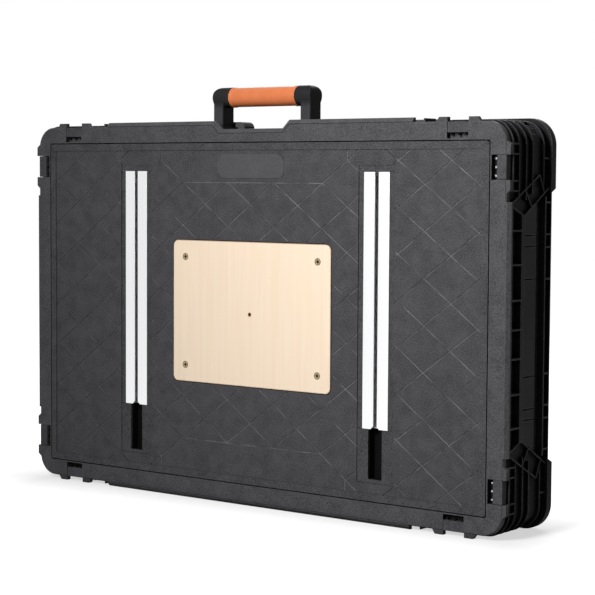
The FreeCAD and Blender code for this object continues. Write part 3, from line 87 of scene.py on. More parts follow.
# Places on the bench that the small pieces take from the frame, in millimetres
MM = 0.001
HALF_DEPTH = 59.0
HALF_HEIGHT = 275.0
RAIL_X = 217.5
BED_SCREW_REACH = 33.6
BED_FLANGE_BACK = 8.5
BED_SCREW_LEVELS = (-217.0, -160.0, -120.0, -40.0, 40.0, 120.0, 190.0)
HINGE_X = 385.0
HINGE_DEPTH = 70.0
OUTER_LANE = 228.0
INNER_LANE = 188.0
KNUCKLE_BACK = 90.0
KNUCKLE_SCREWS = (52.0, 78.0)
COLLAR_BACK = 92.0
COLLAR_SCREW = 409.0
LOCK_BASE_X = 406.0
LOCK_SCREW_LEVEL = 45.0
LOCK_SCREW_DEPTHS = (51.0, 89.0)
SPREADER_SCREW_FACE = 203.0
SPREADER_SCREWS = (320.0, 340.0)

# Pan heads: radius and height of each kind in millimetres, then the rings of a head from the floor of its
# socket to its seat, as (share of the radius, share of the height, six-sided or not)
BED_HEAD = (3.2, 1.7)
LEG_HEAD = (3.6, 2.0)
LOCK_HEAD = (3.4, 1.8)
SPREADER_HEAD = (3.4, 1.8)
HEAD_POINTS = 24
HEAD_RINGS = ((0.42, 0.35, True), (0.42, 0.97, True), (0.525, 1.0, False), (0.78, 0.96, False),
              (0.95, 0.70, False), (1.0, 0.38, False), (1.0, 0.0, False))

# Stop above a rail: its outline as (X from the rail, height) and the depths of its faces
STOP_OUTLINE = ((-30.0, 203.36), (-20.8, 203.36), (-20.8, 203.06), (20.8, 203.06), (20.8, 203.36),
                (30.0, 203.36), (30.0, 208.0), (25.0, 211.5), (-25.0, 211.5), (-30.0, 208.0))
STOP_DEPTHS = (5.3, 12.0)

# Pocket of the plywood insert: half its length and height, the rounding of its corners, the depths that a
# corner fills, and how far it bites into the walls
POCKET_X = 144.0
POCKET_Z = 104.5
POCKET_ROUND = 10.0
POCKET_DEPTHS = (1.25, 5.0)
POCKET_BITE = 0.4
POCKET_STEPS = 10

# Corner of a bumper: middle of its rounding, skin, arc in degrees, and ribs as (front, back, reach)
CORNER_X = 389.0
CORNER_Z = 239.0
CORNER_INSIDE = 24.8
CORNER_OUTSIDE = 26.4
CORNER_DEPTHS = (8.4, 117.8)
CORNER_FROM = 22.0
CORNER_TO = 68.0
CORNER_STEPS = 12
CORNER_RIBS = ((8.4, 10.2, 29.8), (13.1, 14.9, 31.4), (28.1, 29.9, 31.4), (46.1, 47.9, 31.4),
               (62.1, 63.9, 31.4), (91.1, 92.9, 31.4), (106.6, 117.8, 31.4))

# From here on, places that the finishes use, in metres

# Where painted shade turns the clamp slots black, by depth along Y
HOLLOW_SPAN = (-0.0565, -0.0515)

# Reach of the occlusion that sets painted light in the slots of the rails and painted shade in the recesses
# of screws
SLOT_REACH = 0.007
RECESS_REACH = 0.003

# Birch face: its middle, straight half lengths, the rounding of its corners and the width of its browned edge
INSERT_MIDDLE = (0.0, 0.0, HALF_HEIGHT * MM)
BIRCH_STRAIGHT = (0.134, 1.0, 0.0945)
BIRCH_ROUND = 0.009
BIRCH_BROWN = 0.0016

# Rings on the birch, from full to none: distances from the axes of the screws, for the painted shadow of
# their countersinks, and of the pilot hole, for its browned ring, whose axis is a box with no width
PILOT_AXIS = (0.0, 1.0, 0.0)
COUNTERSINK_SHADOW_SPAN = (0.0048, 0.0056)
HOLE_SPAN = (0.0027, 0.0036)

# Insert screws: their axes from the middle, what counts across an axis, and radii where painted shade ends
# round the recess and painted shadow begins at the edge
SCREW_AXES = (0.120, 0.0, 0.079)
ACROSS_AXIS = (1.0, 0.0, 1.0)
SCREW_RECESS_SHADE = (0.0014, 0.0026)
SCREW_RIM_SHADOW = (0.0036, 0.0046)
SCREW_SHADE_SHARE = 0.95

# Clip tabs of the bumpers lie in front of this depth along Y and take a lighter tone as painted light, and
# their nubs inside these distances take a painted highlight on the right side and painted shade elsewhere
TAB_BACK = -0.0508
NUB_X = 0.4045
NUB_Z = 0.2545
NUB_SIDE = 0.235

# Lattice grooves of the worktop: depths where their floor begins and ends, the clear strip at a rail, patches
# of their paler tone, and the fading of that tone to the left
GROOVE_FRONT = (-0.05765, -0.05740)
GROOVE_BACK = (-0.05690, -0.05670)
CHANNEL_HALF = 0.0305
GROOVE_PATCH_SCALE = 38.0
GROOVE_PATCH_SPAN = (0.36, 0.62)
GROOVE_PATCH_SHARE = (0.15, 1.0)
FADE_SPAN = (-0.40, 0.05)
FADE_SHARE = (0.35, 1.0)

# Smooth pad of the worktop: middle, straight half length, rounded ends from full tone to none, and depth
PAD_MIDDLE = (0.0, 0.0, 0.4858)
PAD_STRAIGHT = (0.0438, 1.0, 0.0)
PAD_SPAN = (0.0164, 0.0174)
PAD_BACK = -0.0581
PAD_SHARE = 0.6

# Painted light on faces that look forward: slant along Y from none to full, and heights where a handle post
# turns into the barrel, where that light is weaker
FRONT_LIGHT_SPAN = (-0.6, -0.9)
BARREL_SPAN = (0.568, 0.575)
BARREL_LIGHT_SHARE = 0.35

# Sockets of a colour Mix node, whose names occur more than once on it
MIX_SHARE = 0
MIX_FIRST = 6
MIX_SECOND = 7
MIX_RESULT = 2

# Values that recur in the nodes
ORIGIN = (0.0, 0.0, 0.0)
RISING = (0.0, 1.0)
FALLING = (1.0, 0.0)


# Node helpers


def place_node(tree, kind, inputs=None, **settings):
    """Adds a shader node, with its settings and with values or links on its inputs."""
    made = tree.nodes.new("ShaderNode" + kind)
    for name, value in settings.items():
        setattr(made, name, value)
    for name, value in (inputs or {}).items():
        socket = made.inputs[name]
        if isinstance(value, bpy.types.NodeSocket):
            tree.links.new(value, socket)
        else:
            socket.default_value = value
    return made


def sums(tree, operation, first, second=0.0):
    """One Math node."""
    return place_node(tree, "Math", {0: first, 1: second}, operation=operation).outputs[0]


def vector_sums(tree, operation, first, second=ORIGIN):
    """One Vector Math node that gives a vector."""
    return place_node(tree, "VectorMath", {0: first, 1: second}, operation=operation).outputs["Vector"]


def length_of(tree, vector):
    """Length of a vector."""
    return place_node(tree, "VectorMath", {0: vector}, operation="LENGTH").outputs["Value"]


def axes_of(tree, vector):
    """X, Y and Z of a vector."""
    parts = place_node(tree, "SeparateXYZ", {0: vector})
    return [parts.outputs[axis] for axis in "XYZ"]


def surface_spot(tree):
    """Point on the surface, in metres of the frame."""
    return place_node(tree, "TexCoord").outputs["Object"]


def surface_normal(tree):
    """Way that the surface looks."""
    return place_node(tree, "NewGeometry").outputs["Normal"]


def noise(tree, spot, scale, detail, **more):
    """Noise over the surface, from 0 to 1."""
    inputs = {"Vector": spot, "Scale": scale, "Detail": detail, **more}
    return place_node(tree, "TexNoise", inputs).outputs["Fac"]


def between(tree, value, span, result=RISING):
    """Maps a value from one span to another, held at both ends."""
    made = place_node(tree, "MapRange", {"Value": value, "From Min": span[0], "From Max": span[1],
                                         "To Min": result[0], "To Max": result[1]})
    return made.outputs["Result"]


def either_side(tree, spot, middle):
    """Distances from a middle along X, Y and Z, without their signs."""
    return vector_sums(tree, "ABSOLUTE", vector_sums(tree, "SUBTRACT", spot, middle))


def outside_box(tree, spot, middle, half):
    """Distance outside a box with this middle and these half lengths."""
    past = vector_sums(tree, "SUBTRACT", either_side(tree, spot, middle), half)
    return length_of(tree, vector_sums(tree, "MAXIMUM", past))


def blend_colours(tree, share, first, second):
    """Colour that goes from the first to the second as share goes from 0 to 1."""
    made = place_node(tree, "Mix", {MIX_SHARE: share, MIX_FIRST: first, MIX_SECOND: second}, data_type="RGBA")
    return made.outputs[MIX_RESULT]


def effect_group(name, inputs, outputs):
    """Empty node group with float inputs and named outputs."""
    tree = bpy.data.node_groups.new(name, "ShaderNodeTree")
    for label, value in inputs.items():
        socket = tree.interface.new_socket(label, in_out="INPUT", socket_type="NodeSocketFloat")
        socket.default_value = value
    for label in outputs:
        tree.interface.new_socket(label, in_out="OUTPUT", socket_type="NodeSocketFloat")
    return tree, tree.nodes.new("NodeGroupInput").outputs, tree.nodes.new("NodeGroupOutput").inputs


def use_group(tree, group, **values):
    """Places a shared effect in a material, with its own values, and gives the outputs."""
    made = tree.nodes.new("ShaderNodeGroup")
    made.node_tree = group
    for label, value in values.items():
        made.inputs[label.replace("_", " ")].default_value = value
    return made.outputs


# Shared effects


def moulded_grain():
    """Pebbled skin of moulded plastic: slow mottling in tone and shine, and a fine grain in height."""
    finer, coarser, wider = 2.3, 0.95, 0.15
    speck_share, cloud_share, dust_share = 0.75, 0.25, 0.5
    tone_span, shine_span = (0.36, 0.64), (0.3, 0.7)
    tree, given, result = effect_group("moulded grain", {"Grain": 700.0, "Mottle": 60.0},
                                       ("Tone", "Shine", "Height"))
    spot = surface_spot(tree)
    pebble = place_node(tree, "TexVoronoi", {"Vector": spot, "Scale": given["Grain"]}, feature="SMOOTH_F1")
    dust = noise(tree, spot, sums(tree, "MULTIPLY", given["Grain"], finer), detail=2.0)
    speck = noise(tree, spot, sums(tree, "MULTIPLY", given["Grain"], coarser), detail=3.0)
    cloud = noise(tree, spot, given["Mottle"], detail=4.0)
    drift = noise(tree, spot, sums(tree, "MULTIPLY", given["Mottle"], wider), detail=1.0)
    mixed = sums(tree, "ADD", sums(tree, "MULTIPLY", speck, speck_share),
                 sums(tree, "MULTIPLY", cloud, cloud_share))
    height = sums(tree, "ADD", pebble.outputs["Distance"], sums(tree, "MULTIPLY", dust, dust_share))
    tree.links.new(between(tree, mixed, tone_span), result["Tone"])
    tree.links.new(between(tree, drift, shine_span), result["Shine"])
    tree.links.new(height, result["Height"])
    return tree


def edge_wear_and_highlight():
    """Mask that is 1 along convex and concave edges, broken up in patches; it carries wear and a painted
    highlight along the edges.
    """
    edge_turn = (0.995, 0.86)
    patch_span, patch_share = (0.3, 0.65), (0.45, 1.0)
    tree, given, result = effect_group("edge wear and highlight", {"Width": 0.0012, "Breakup": 90.0}, ("Mask",))
    soft = place_node(tree, "Bevel", {"Radius": given["Width"]}, samples=4).outputs["Normal"]
    turn = place_node(tree, "VectorMath", {0: soft, 1: surface_normal(tree)}, operation="DOT_PRODUCT")
    edge = between(tree, turn.outputs["Value"], edge_turn)
    patch = noise(tree, surface_spot(tree), given["Breakup"], detail=3.0)
    share = between(tree, patch, patch_span, patch_share)
    tree.links.new(sums(tree, "MULTIPLY", edge, share), result["Mask"])
    return tree


def drawn_lines():
    """Fine lines left along a drawn or extruded bar: dense across it and long along it."""
    fine_scale, broad_scale = 1.0, 0.16
    fine_share, broad_share = 0.6, 0.4
    tone_span = (0.32, 0.68)
    tree, given, result = effect_group("drawn lines", {"Across X": 900.0, "Across Y": 900.0, "Across Z": 4.0},
                                       ("Tone", "Height"))
    stretch = place_node(tree, "CombineXYZ", {axis: given["Across " + axis] for axis in "XYZ"})
    lines = vector_sums(tree, "MULTIPLY", surface_spot(tree), stretch.outputs["Vector"])
    fine = noise(tree, lines, fine_scale, detail=3.0)
    broad = noise(tree, lines, broad_scale, detail=2.0)
    both = sums(tree, "ADD", sums(tree, "MULTIPLY", fine, fine_share),
                sums(tree, "MULTIPLY", broad, broad_share))
    tree.links.new(between(tree, both, tone_span), result["Tone"])
    tree.links.new(both, result["Height"])
    return tree


def painted_recess_shade():
    """Mask for painted shade, 1 deep between ribs and in grooves, where little light and no hand reaches."""
    sky_span = (0.85, 0.30)
    tree, given, result = effect_group("painted recess shade", {"Reach": 0.018}, ("Mask",))
    open_sky = place_node(tree, "AmbientOcclusion", {"Distance": given["Reach"]}, samples=6)
    tree.links.new(between(tree, open_sky.outputs["AO"], sky_span), result["Mask"])
    return tree


def painted_front_light():
    """Mask of painted light: 1 on faces that look the way the worktop does, and lower on the barrels of the
    handle.
    """
    tree, _, result = effect_group("painted front light", {}, ("Mask",))
    slant = axes_of(tree, surface_normal(tree))[1]
    height = axes_of(tree, surface_spot(tree))[2]
    share = sums(tree, "MULTIPLY", between(tree, slant, FRONT_LIGHT_SPAN),
                 between(tree, height, BARREL_SPAN, (1.0, BARREL_LIGHT_SHARE)))
    tree.links.new(share, result["Mask"])
    return tree


def screw_distance():
    """Distance from the axis of the nearest insert screw."""
    tree, _, result = effect_group("screw distance", {}, ("Distance",))
    off = vector_sums(tree, "SUBTRACT", either_side(tree, surface_spot(tree), INSERT_MIDDLE), SCREW_AXES)
    tree.links.new(length_of(tree, vector_sums(tree, "MULTIPLY", off, ACROSS_AXIS)), result["Distance"])
    return tree


GRAIN = moulded_grain()
EDGE_WEAR_AND_HIGHLIGHT = edge_wear_and_highlight()
LINES = drawn_lines()
RECESS_SHADE = painted_recess_shade()
FRONT_LIGHT = painted_front_light()
SCREWS = screw_distance()


# Finishes


def colour(red, green, blue):
    """Colour with nothing see-through."""
    return (red, green, blue, 1.0)


def grey(level):
    """Cool grey of the moulded plastic."""
    green_share, blue_share = 0.995, 1.06
    return colour(level, level * green_share, level * blue_share)


HOLLOW_SHADE_BLACK = colour(0.0025, 0.0025, 0.0027)
SLOT_GREY = colour(0.550, 0.550, 0.560)
GROOVE_PALE = grey(0.170)
PAD_GREY = grey(0.088)
LIT_NUB = grey(0.480)
SHADED_NUB = grey(0.009)
BIRCH_PALE = colour(0.890, 0.735, 0.575)
BIRCH_STREAK = colour(0.850, 0.684, 0.512)
BIRCH_PORE = colour(0.700, 0.520, 0.330)
BIRCH_WARM = colour(0.885, 0.716, 0.536)
SAWN_BROWN = colour(0.120, 0.060, 0.028)
COUNTERSINK_SHADOW = colour(0.120, 0.075, 0.040)
HOLE_BROWN = colour(0.400, 0.220, 0.090)
PLY_DARK = colour(0.110, 0.050, 0.020)
PLY_LIGHT = colour(0.300, 0.165, 0.075)


def new_finish(name):
    """Empty material, with its nodes and its shader's inputs."""
    made = bpy.data.materials.new(name)
    made.use_nodes = True
    tree = made.node_tree
    return made, tree, tree.nodes["Principled BSDF"].inputs


def raise_surface(tree, shader, height, strength, distance):
    """Bump from a height, on the shader's normal."""
    bump = place_node(tree, "Bump", {"Height": height, "Strength": strength, "Distance": distance})
    tree.links.new(bump.outputs["Normal"], shader["Normal"])


def paint_hollow_shade(tree, base):
    """Paints shade that takes a colour down to black behind the worktop face, as in a slot that no light
    reaches.
    """
    depth = axes_of(tree, surface_spot(tree))[1]
    return blend_colours(tree, between(tree, depth, HOLLOW_SPAN), base, HOLLOW_SHADE_BLACK)


def worktop_tones(tree, base):
    """Paler, patchy tone on the floor of the lattice grooves, fading to the left, and the tone of the smooth
    pad.
    """
    spot = surface_spot(tree)
    x, depth, _ = axes_of(tree, spot)
    on_floor = sums(tree, "MULTIPLY", between(tree, depth, GROOVE_FRONT),
                    between(tree, depth, GROOVE_BACK, FALLING))
    across = sums(tree, "ABSOLUTE", x)
    from_rail = sums(tree, "ABSOLUTE", sums(tree, "SUBTRACT", across, RAIL_X * MM))
    clear = sums(tree, "GREATER_THAN", from_rail, CHANNEL_HALF)
    patch = between(tree, noise(tree, spot, GROOVE_PATCH_SCALE, detail=3.0), GROOVE_PATCH_SPAN, GROOVE_PATCH_SHARE)
    share = sums(tree, "MULTIPLY", patch, between(tree, x, FADE_SPAN, FADE_SHARE))
    pale_grooves = sums(tree, "MULTIPLY", on_floor, sums(tree, "MULTIPLY", share, clear))
    from_pad = outside_box(tree, spot, PAD_MIDDLE, PAD_STRAIGHT)
    on_pad = sums(tree, "MULTIPLY", between(tree, from_pad, PAD_SPAN, (PAD_SHARE, 0.0)),
                  sums(tree, "LESS_THAN", depth, PAD_BACK))
    return blend_colours(tree, on_pad, blend_colours(tree, pale_grooves, base, GROOVE_PALE), PAD_GREY)


def light_tabs(tree, base, tab):
    """Painted light on a bumper's clip tabs in the plane of the rim, as a lighter tone, and on the small nubs
    on their inner edge a painted highlight on the right side and painted shade elsewhere.
    """
    spot = surface_spot(tree)
    x, depth, _ = axes_of(tree, spot)
    across, _, height = axes_of(tree, either_side(tree, spot, INSERT_MIDDLE))
    in_front = sums(tree, "LESS_THAN", depth, TAB_BACK)
    on_nub = sums(tree, "MULTIPLY", sums(tree, "LESS_THAN", across, NUB_X),
                  sums(tree, "LESS_THAN", height, NUB_Z))
    lit = sums(tree, "MULTIPLY", sums(tree, "LESS_THAN", height, NUB_SIDE),
               sums(tree, "GREATER_THAN", x, 0.0))
    nub = blend_colours(tree, lit, SHADED_NUB, LIT_NUB)
    return blend_colours(tree, in_front, base, blend_colours(tree, on_nub, tab, nub))


def moulded_plastic(name, tones, edge_wear_and_highlight_tone, deep, shine, grain, bump, specular, hollow=False, worktop=False,
                    tabs=None, front=None):
    """Moulded plastic: mottled between two tones, paler along its edges from wear and a painted highlight,
    and darker in its recesses as painted shade.
    """
    pebble_height = 0.0004
    made, tree, shader = new_finish(name)
    skin = use_group(tree, GRAIN, Grain=grain)
    edge_wear_and_highlight_mask = use_group(tree, EDGE_WEAR_AND_HIGHLIGHT)["Mask"]
    recess = use_group(tree, RECESS_SHADE)["Mask"]
    # Wear and painted highlight along the edges, held back in the recesses.
    open_edge_wear_and_highlight = sums(tree, "MULTIPLY", edge_wear_and_highlight_mask, sums(tree, "SUBTRACT", 1.0, recess))
    base = blend_colours(tree, open_edge_wear_and_highlight, blend_colours(tree, skin["Tone"], *tones), edge_wear_and_highlight_tone)
    # Painted shade: darker in the recesses, where the occlusion mask is high.
    base = blend_colours(tree, recess, base, deep)
    if worktop:
        base = worktop_tones(tree, base)
    if tabs:
        base = light_tabs(tree, base, blend_colours(tree, skin["Tone"], *tabs))
    # Painted light: faces that look the way the worktop does take a lighter tone.
    if front:
        front_light_share = use_group(tree, FRONT_LIGHT)["Mask"]
        base = blend_colours(tree, front_light_share, base, blend_colours(tree, skin["Tone"], *front))
    # Painted shade: black deep in the clamp slots.
    if hollow:
        base = paint_hollow_shade(tree, base)
    tree.links.new(base, shader["Base Color"])
    tree.links.new(between(tree, skin["Shine"], RISING, shine), shader["Roughness"])
    shader["Specular IOR Level"].default_value = specular
    raise_surface(tree, shader, skin["Height"], bump, pebble_height)
    return made


def anodised_aluminium(name, lines, low, high):
    """Extruded and anodised aluminium with faint lines along the bar; in its slots and other recesses, set by
    occlusion, it turns to a plain grey without metal as painted light.
    """
    shine, line_bump, line_height = (0.42, 0.30), 0.12, 0.0002
    made, tree, shader = new_finish(name)
    drawn = use_group(tree, LINES, **lines)
    recess = use_group(tree, RECESS_SHADE, Reach=SLOT_REACH)["Mask"]
    base = blend_colours(tree, drawn["Tone"], low, high)
    # Painted light: in the slots the bar turns to plain grey without metal.
    tree.links.new(blend_colours(tree, recess, base, SLOT_GREY), shader["Base Color"])
    tree.links.new(sums(tree, "SUBTRACT", 1.0, recess), shader["Metallic"])
    tree.links.new(between(tree, drawn["Tone"], RISING, shine), shader["Roughness"])
    raise_surface(tree, shader, drawn["Height"], line_bump, line_height)
    return made


def birch_face(tree, spot, long_grain, streak):
    """Colour of the birch face: streaks, pores and clouds, browned at its edge and pilot hole, with painted
    shadow round the screws.
    """
    pore_span, pore_share = (0.60, 0.74), (0.0, 0.18)
    warm_span, warm_share = (0.35, 0.70), (0.0, 0.35)
    countersink_shadow_share, hole_share = (0.9, 0.0), (0.8, 0.0)
    pores = between(tree, noise(tree, long_grain, scale=1500.0, detail=2.0), pore_span, pore_share)
    clouds = between(tree, noise(tree, spot, scale=9.0, detail=2.0), warm_span, warm_share)
    edge = between(tree, outside_box(tree, spot, INSERT_MIDDLE, BIRCH_STRAIGHT),
                   (BIRCH_ROUND - BIRCH_BROWN, BIRCH_ROUND))
    countersink_shadow = between(tree, use_group(tree, SCREWS)["Distance"], COUNTERSINK_SHADOW_SPAN, countersink_shadow_share)
    hole = between(tree, outside_box(tree, spot, INSERT_MIDDLE, PILOT_AXIS), HOLE_SPAN, hole_share)
    face = blend_colours(tree, streak, BIRCH_PALE, BIRCH_STREAK)
    for share, tone in ((pores, BIRCH_PORE), (clouds, BIRCH_WARM), (edge, SAWN_BROWN), (countersink_shadow, COUNTERSINK_SHADOW),
                        (hole, HOLE_BROWN)):
        face = blend_colours(tree, share, face, tone)
    return face


def birch_plywood():
    """Pale birch face with upright grain; its cut edges are a browned stack of plies."""
    stretch = (1.0, 0.25, 0.035)
    streak_span, face_span, shine = (0.35, 0.68), (0.55, 0.85), (0.40, 0.52)
    specular, grain_bump, grain_height = 0.35, 0.10, 0.0003
    made, tree, shader = new_finish("lacquered birch plywood")
    spot = surface_spot(tree)
    long_grain = vector_sums(tree, "MULTIPLY", spot, stretch)
    figure = noise(tree, long_grain, scale=150.0, detail=5.0, Roughness=0.55, Distortion=0.6)
    streak = between(tree, figure, streak_span)
    plies = place_node(tree, "TexWave", {"Vector": spot, "Scale": 105.0, "Distortion": 0.4},
                       bands_direction="Y")
    cut = blend_colours(tree, plies.outputs["Fac"], PLY_DARK, PLY_LIGHT)
    slant = sums(tree, "ABSOLUTE", axes_of(tree, surface_normal(tree))[1])
    face = birch_face(tree, spot, long_grain, streak)
    tree.links.new(blend_colours(tree, between(tree, slant, face_span), cut, face), shader["Base Color"])
    tree.links.new(between(tree, streak, RISING, shine), shader["Roughness"])
    shader["Specular IOR Level"].default_value = specular
    raise_surface(tree, shader, figure, grain_bump, grain_height)
    return made


def screw_shade_mask(tree):
    """Mask of painted shade round the driver recess and painted shadow round the edge of the insert's screw
    heads.
    """
    away = use_group(tree, SCREWS)["Distance"]
    return sums(tree, "MAXIMUM", between(tree, away, SCREW_RECESS_SHADE, (SCREW_SHADE_SHARE, 0.0)),
                between(tree, away, SCREW_RIM_SHADOW, (0.0, SCREW_SHADE_SHARE)))


def plated_steel(name, low, high, deep, shine, shaded_screw=False):
    """Plated steel: cloudy tone and shine, with painted shade in the recess of a screw, and round the
    insert's screw heads when asked.
    """
    cloud_bump, cloud_height = 0.06, 0.0002
    made, tree, shader = new_finish(name)
    skin = use_group(tree, GRAIN, Grain=1400.0, Mottle=220.0)
    recess = use_group(tree, RECESS_SHADE, Reach=RECESS_REACH)["Mask"]
    # Painted shade in the recess of a screw.
    base = blend_colours(tree, recess, blend_colours(tree, skin["Tone"], low, high), deep)
    if shaded_screw:
        base = blend_colours(tree, screw_shade_mask(tree), base, deep)
    tree.links.new(base, shader["Base Color"])
    tree.links.new(between(tree, skin["Tone"], RISING, shine), shader["Roughness"])
    shader["Metallic"].default_value = 1.0
    raise_surface(tree, shader, skin["Height"], cloud_bump, cloud_height)
    return made


FINISHES = {
    "charcoal_plastic": moulded_plastic(
        "charcoal moulded plastic", tones=(grey(0.042), grey(0.096)), edge_wear_and_highlight_tone=grey(0.105), deep=grey(0.018),
        shine=(0.55, 0.68), grain=620.0, bump=0.50, specular=0.06),
    # Same plastic as the charcoal rim; its darker tones are painted shade.
    "black_plastic": moulded_plastic(
        "moulded plastic darkened as painted shade", tones=(grey(0.026), grey(0.042)), edge_wear_and_highlight_tone=grey(0.340), deep=grey(0.006),
        shine=(0.48, 0.60), grain=900.0, bump=0.30, specular=0.03),
    "orange_plastic": moulded_plastic(
        "orange grip", tones=(colour(0.560, 0.145, 0.046), colour(0.680, 0.200, 0.072)),
        edge_wear_and_highlight_tone=colour(0.780, 0.300, 0.140), deep=colour(0.400, 0.090, 0.022),
        shine=(0.36, 0.46), grain=1100.0, bump=0.30, specular=0.30),
    "aluminium": anodised_aluminium(
        "anodised aluminium bar", {"Across_X": 4.0, "Across_Y": 900.0, "Across_Z": 900.0},
        low=colour(0.58, 0.59, 0.60), high=colour(0.72, 0.73, 0.74)),
    "birch": birch_plywood(),
    "steel": plated_steel(
        "zinc plated steel", low=colour(0.50, 0.49, 0.47), high=colour(0.66, 0.65, 0.62),
        deep=colour(0.10, 0.10, 0.09), shine=(0.38, 0.26)),
    "rubber": moulded_plastic(
        "black rubber", tones=(grey(0.016), grey(0.022)), edge_wear_and_highlight_tone=grey(0.030), deep=grey(0.010),
        shine=(0.78, 0.88), grain=800.0, bump=0.35, specular=0.08),
}
RAIL_FINISH = anodised_aluminium(
    "anodised clamp rail", {"Across_X": 900.0, "Across_Y": 900.0, "Across_Z": 4.0},
    low=colour(0.73, 0.735, 0.74), high=colour(0.81, 0.815, 0.82))
SCREW_FINISH = plated_steel(
    "bronzed screw", low=colour(0.300, 0.230, 0.130), high=colour(0.480, 0.380, 0.230),
    deep=colour(0.006, 0.005, 0.003), shine=(0.45, 0.32), shaded_screw=True)
PANEL_FINISH = moulded_plastic(
    "charcoal worktop", tones=(grey(0.034), grey(0.088)), edge_wear_and_highlight_tone=grey(0.075), deep=grey(0.028),
    shine=(0.55, 0.68), grain=620.0, bump=0.55, specular=0.06, worktop=True)
BED_FINISH = moulded_plastic(
    "charcoal rail bed", tones=(grey(0.034), grey(0.080)), edge_wear_and_highlight_tone=grey(0.070), deep=grey(0.020),
    shine=(0.55, 0.68), grain=620.0, bump=0.50, specular=0.06, hollow=True)
# Same plastic as the charcoal rim, darker as painted shade, with painted light on its clip tabs.
BUMPER_FINISH = moulded_plastic(
    "charcoal bumper", tones=(grey(0.022), grey(0.040)), edge_wear_and_highlight_tone=grey(0.340), deep=grey(0.004),
    shine=(0.50, 0.62), grain=800.0, bump=0.35, specular=0.02, tabs=(grey(0.040), grey(0.090)))
# Black handle post; its faces that look forward take a lighter tone as painted light.
POST_FINISH = moulded_plastic(
    "black handle post", tones=(grey(0.006), grey(0.011)), edge_wear_and_highlight_tone=grey(0.090), deep=grey(0.003),
    shine=(0.34, 0.42), grain=1000.0, bump=0.14, specular=0.03, front=(grey(0.036), grey(0.056)))
# Same plastic as the charcoal rim, darker as painted shade, with painted light on its faces that look
# forward.
TOP_WALL_FINISH = moulded_plastic(
    "top wall darkened as painted shade", tones=(grey(0.026), grey(0.042)), edge_wear_and_highlight_tone=grey(0.300), deep=grey(0.010),
    shine=(0.48, 0.60), grain=900.0, bump=0.30, specular=0.03, front=(grey(0.050), grey(0.090)))
SPECIAL_FINISHES = {
    "left_rail": RAIL_FINISH,
    "right_rail": RAIL_FINISH,
    "left_rail_bed": BED_FINISH,
    "right_rail_bed": BED_FINISH,
    "insert_screws": SCREW_FINISH,
    "worktop_panel": PANEL_FINISH,
    "top_wall": TOP_WALL_FINISH,
    "handle_left_post": POST_FINISH,
    "handle_right_post": POST_FINISH,
    **{"bumper_" + corner: BUMPER_FINISH for corner in CORNERS},
}


# Pieces of the frame


def round_edges(piece, width, flat_faced):
    """Rounds the hard edges, as a mould or a deburring tool leaves them."""
    weld = piece.modifiers.new("joined facets", "WELD")
    weld.merge_threshold = WELD_REACH
    if flat_faced:
        flat = piece.modifiers.new("flat faces", "DECIMATE")
        flat.decimate_type = "DISSOLVE"
        flat.angle_limit = FLAT_ANGLE
    rounding = piece.modifiers.new("rounded edges", "BEVEL")
    rounding.width = width
    rounding.segments = EDGE_SEGMENTS
    rounding.limit_method = "ANGLE"
    rounding.angle_limit = SHARP_ANGLE
    rounding.use_clamp_overlap = False
    shading = piece.modifiers.new("even shading", "WEIGHTED_NORMAL")
    shading.weight = FACE_WEIGHT
    shading.keep_sharp = False


def finish_nodes():
    """Gives every piece of the frame its finish, and rounds the edges of all but the plain-edged ones."""
    for row in frame["record"]["subparts"]:
        node, slot = row["node"], row["material_slot"]
        piece = frame["nodes"][node]
        piece.data.materials.clear()
        piece.data.materials.append(SPECIAL_FINISHES.get(node, FINISHES[slot]))
        if node not in PLAIN_EDGES:
            round_edges(piece, EDGE_ROUND[slot], node in FLAT_FACED)


# Small pieces


def keep_piece(shape, name, body, finish):
    """Turns a bmesh in frame metres into a piece that moves with a body."""
    bmesh.ops.recalc_face_normals(shape, faces=shape.faces)
    mesh = bpy.data.meshes.new(name)
    shape.to_mesh(mesh)
    shape.free()
    mesh.materials.append(finish)
    piece = bpy.data.objects.new(name, mesh)
    bpy.context.scene.collection.objects.link(piece)
    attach(piece, body)


def on_frame(x, depth, height):
    """Frame point in metres, from millimetres along X, behind the worktop face and up from the middle."""
    return Vector((x, depth - HALF_DEPTH, height + HALF_HEIGHT)) * MM


def join_rings(shape, rings):
    """Quads between rings of the same count, with a face over the first and the last ring."""
    count = len(rings[0])
    for lower, upper in zip(rings, rings[1:]):
        for i in range(count):
            j = (i + 1) % count
            shape.faces.new((lower[i], lower[j], upper[j], upper[i]))
    shape.faces.new(rings[0])
    shape.faces.new(rings[-1])


def add_block(name, outline, depths):
    """Plastic piece of the bench with one outline, as (X, height), at two depths."""
    shape = bmesh.new()
    rings = [[shape.verts.new(on_frame(x, depth, height)) for x, height in outline] for depth in depths]
    join_rings(shape, rings)
    keep_piece(shape, name, "bench", BED_FINISH)


def add_screw_head(shape, place, facing, radius, height):
    """Pan head with a six-sided socket, standing on a face."""
    turn = Vector(facing).to_track_quat("Z", "Y").to_matrix()
    side = math.pi / 3.0
    rings = []
    for reach_share, height_share, six_sided in HEAD_RINGS:
        ring = []
        for i in range(HEAD_POINTS):
            angle = 2.0 * math.pi * i / HEAD_POINTS
            reach = radius * reach_share
            if six_sided:
                reach /= math.cos(angle % side - side / 2.0)
            spot = Vector((reach * math.cos(angle), reach * math.sin(angle), height * height_share))
            ring.append(shape.verts.new(place + turn @ (spot * MM)))
        rings.append(ring)
    join_rings(shape, rings)


def add_screws(name, places, facing, head, body):
    """One piece of several pan-head screws on a body, at (X, depth, height) places in millimetres."""
    shape = bmesh.new()
    for place in places:
        add_screw_head(shape, on_frame(*place), facing, *head)
    keep_piece(shape, name, body, FINISHES["steel"])


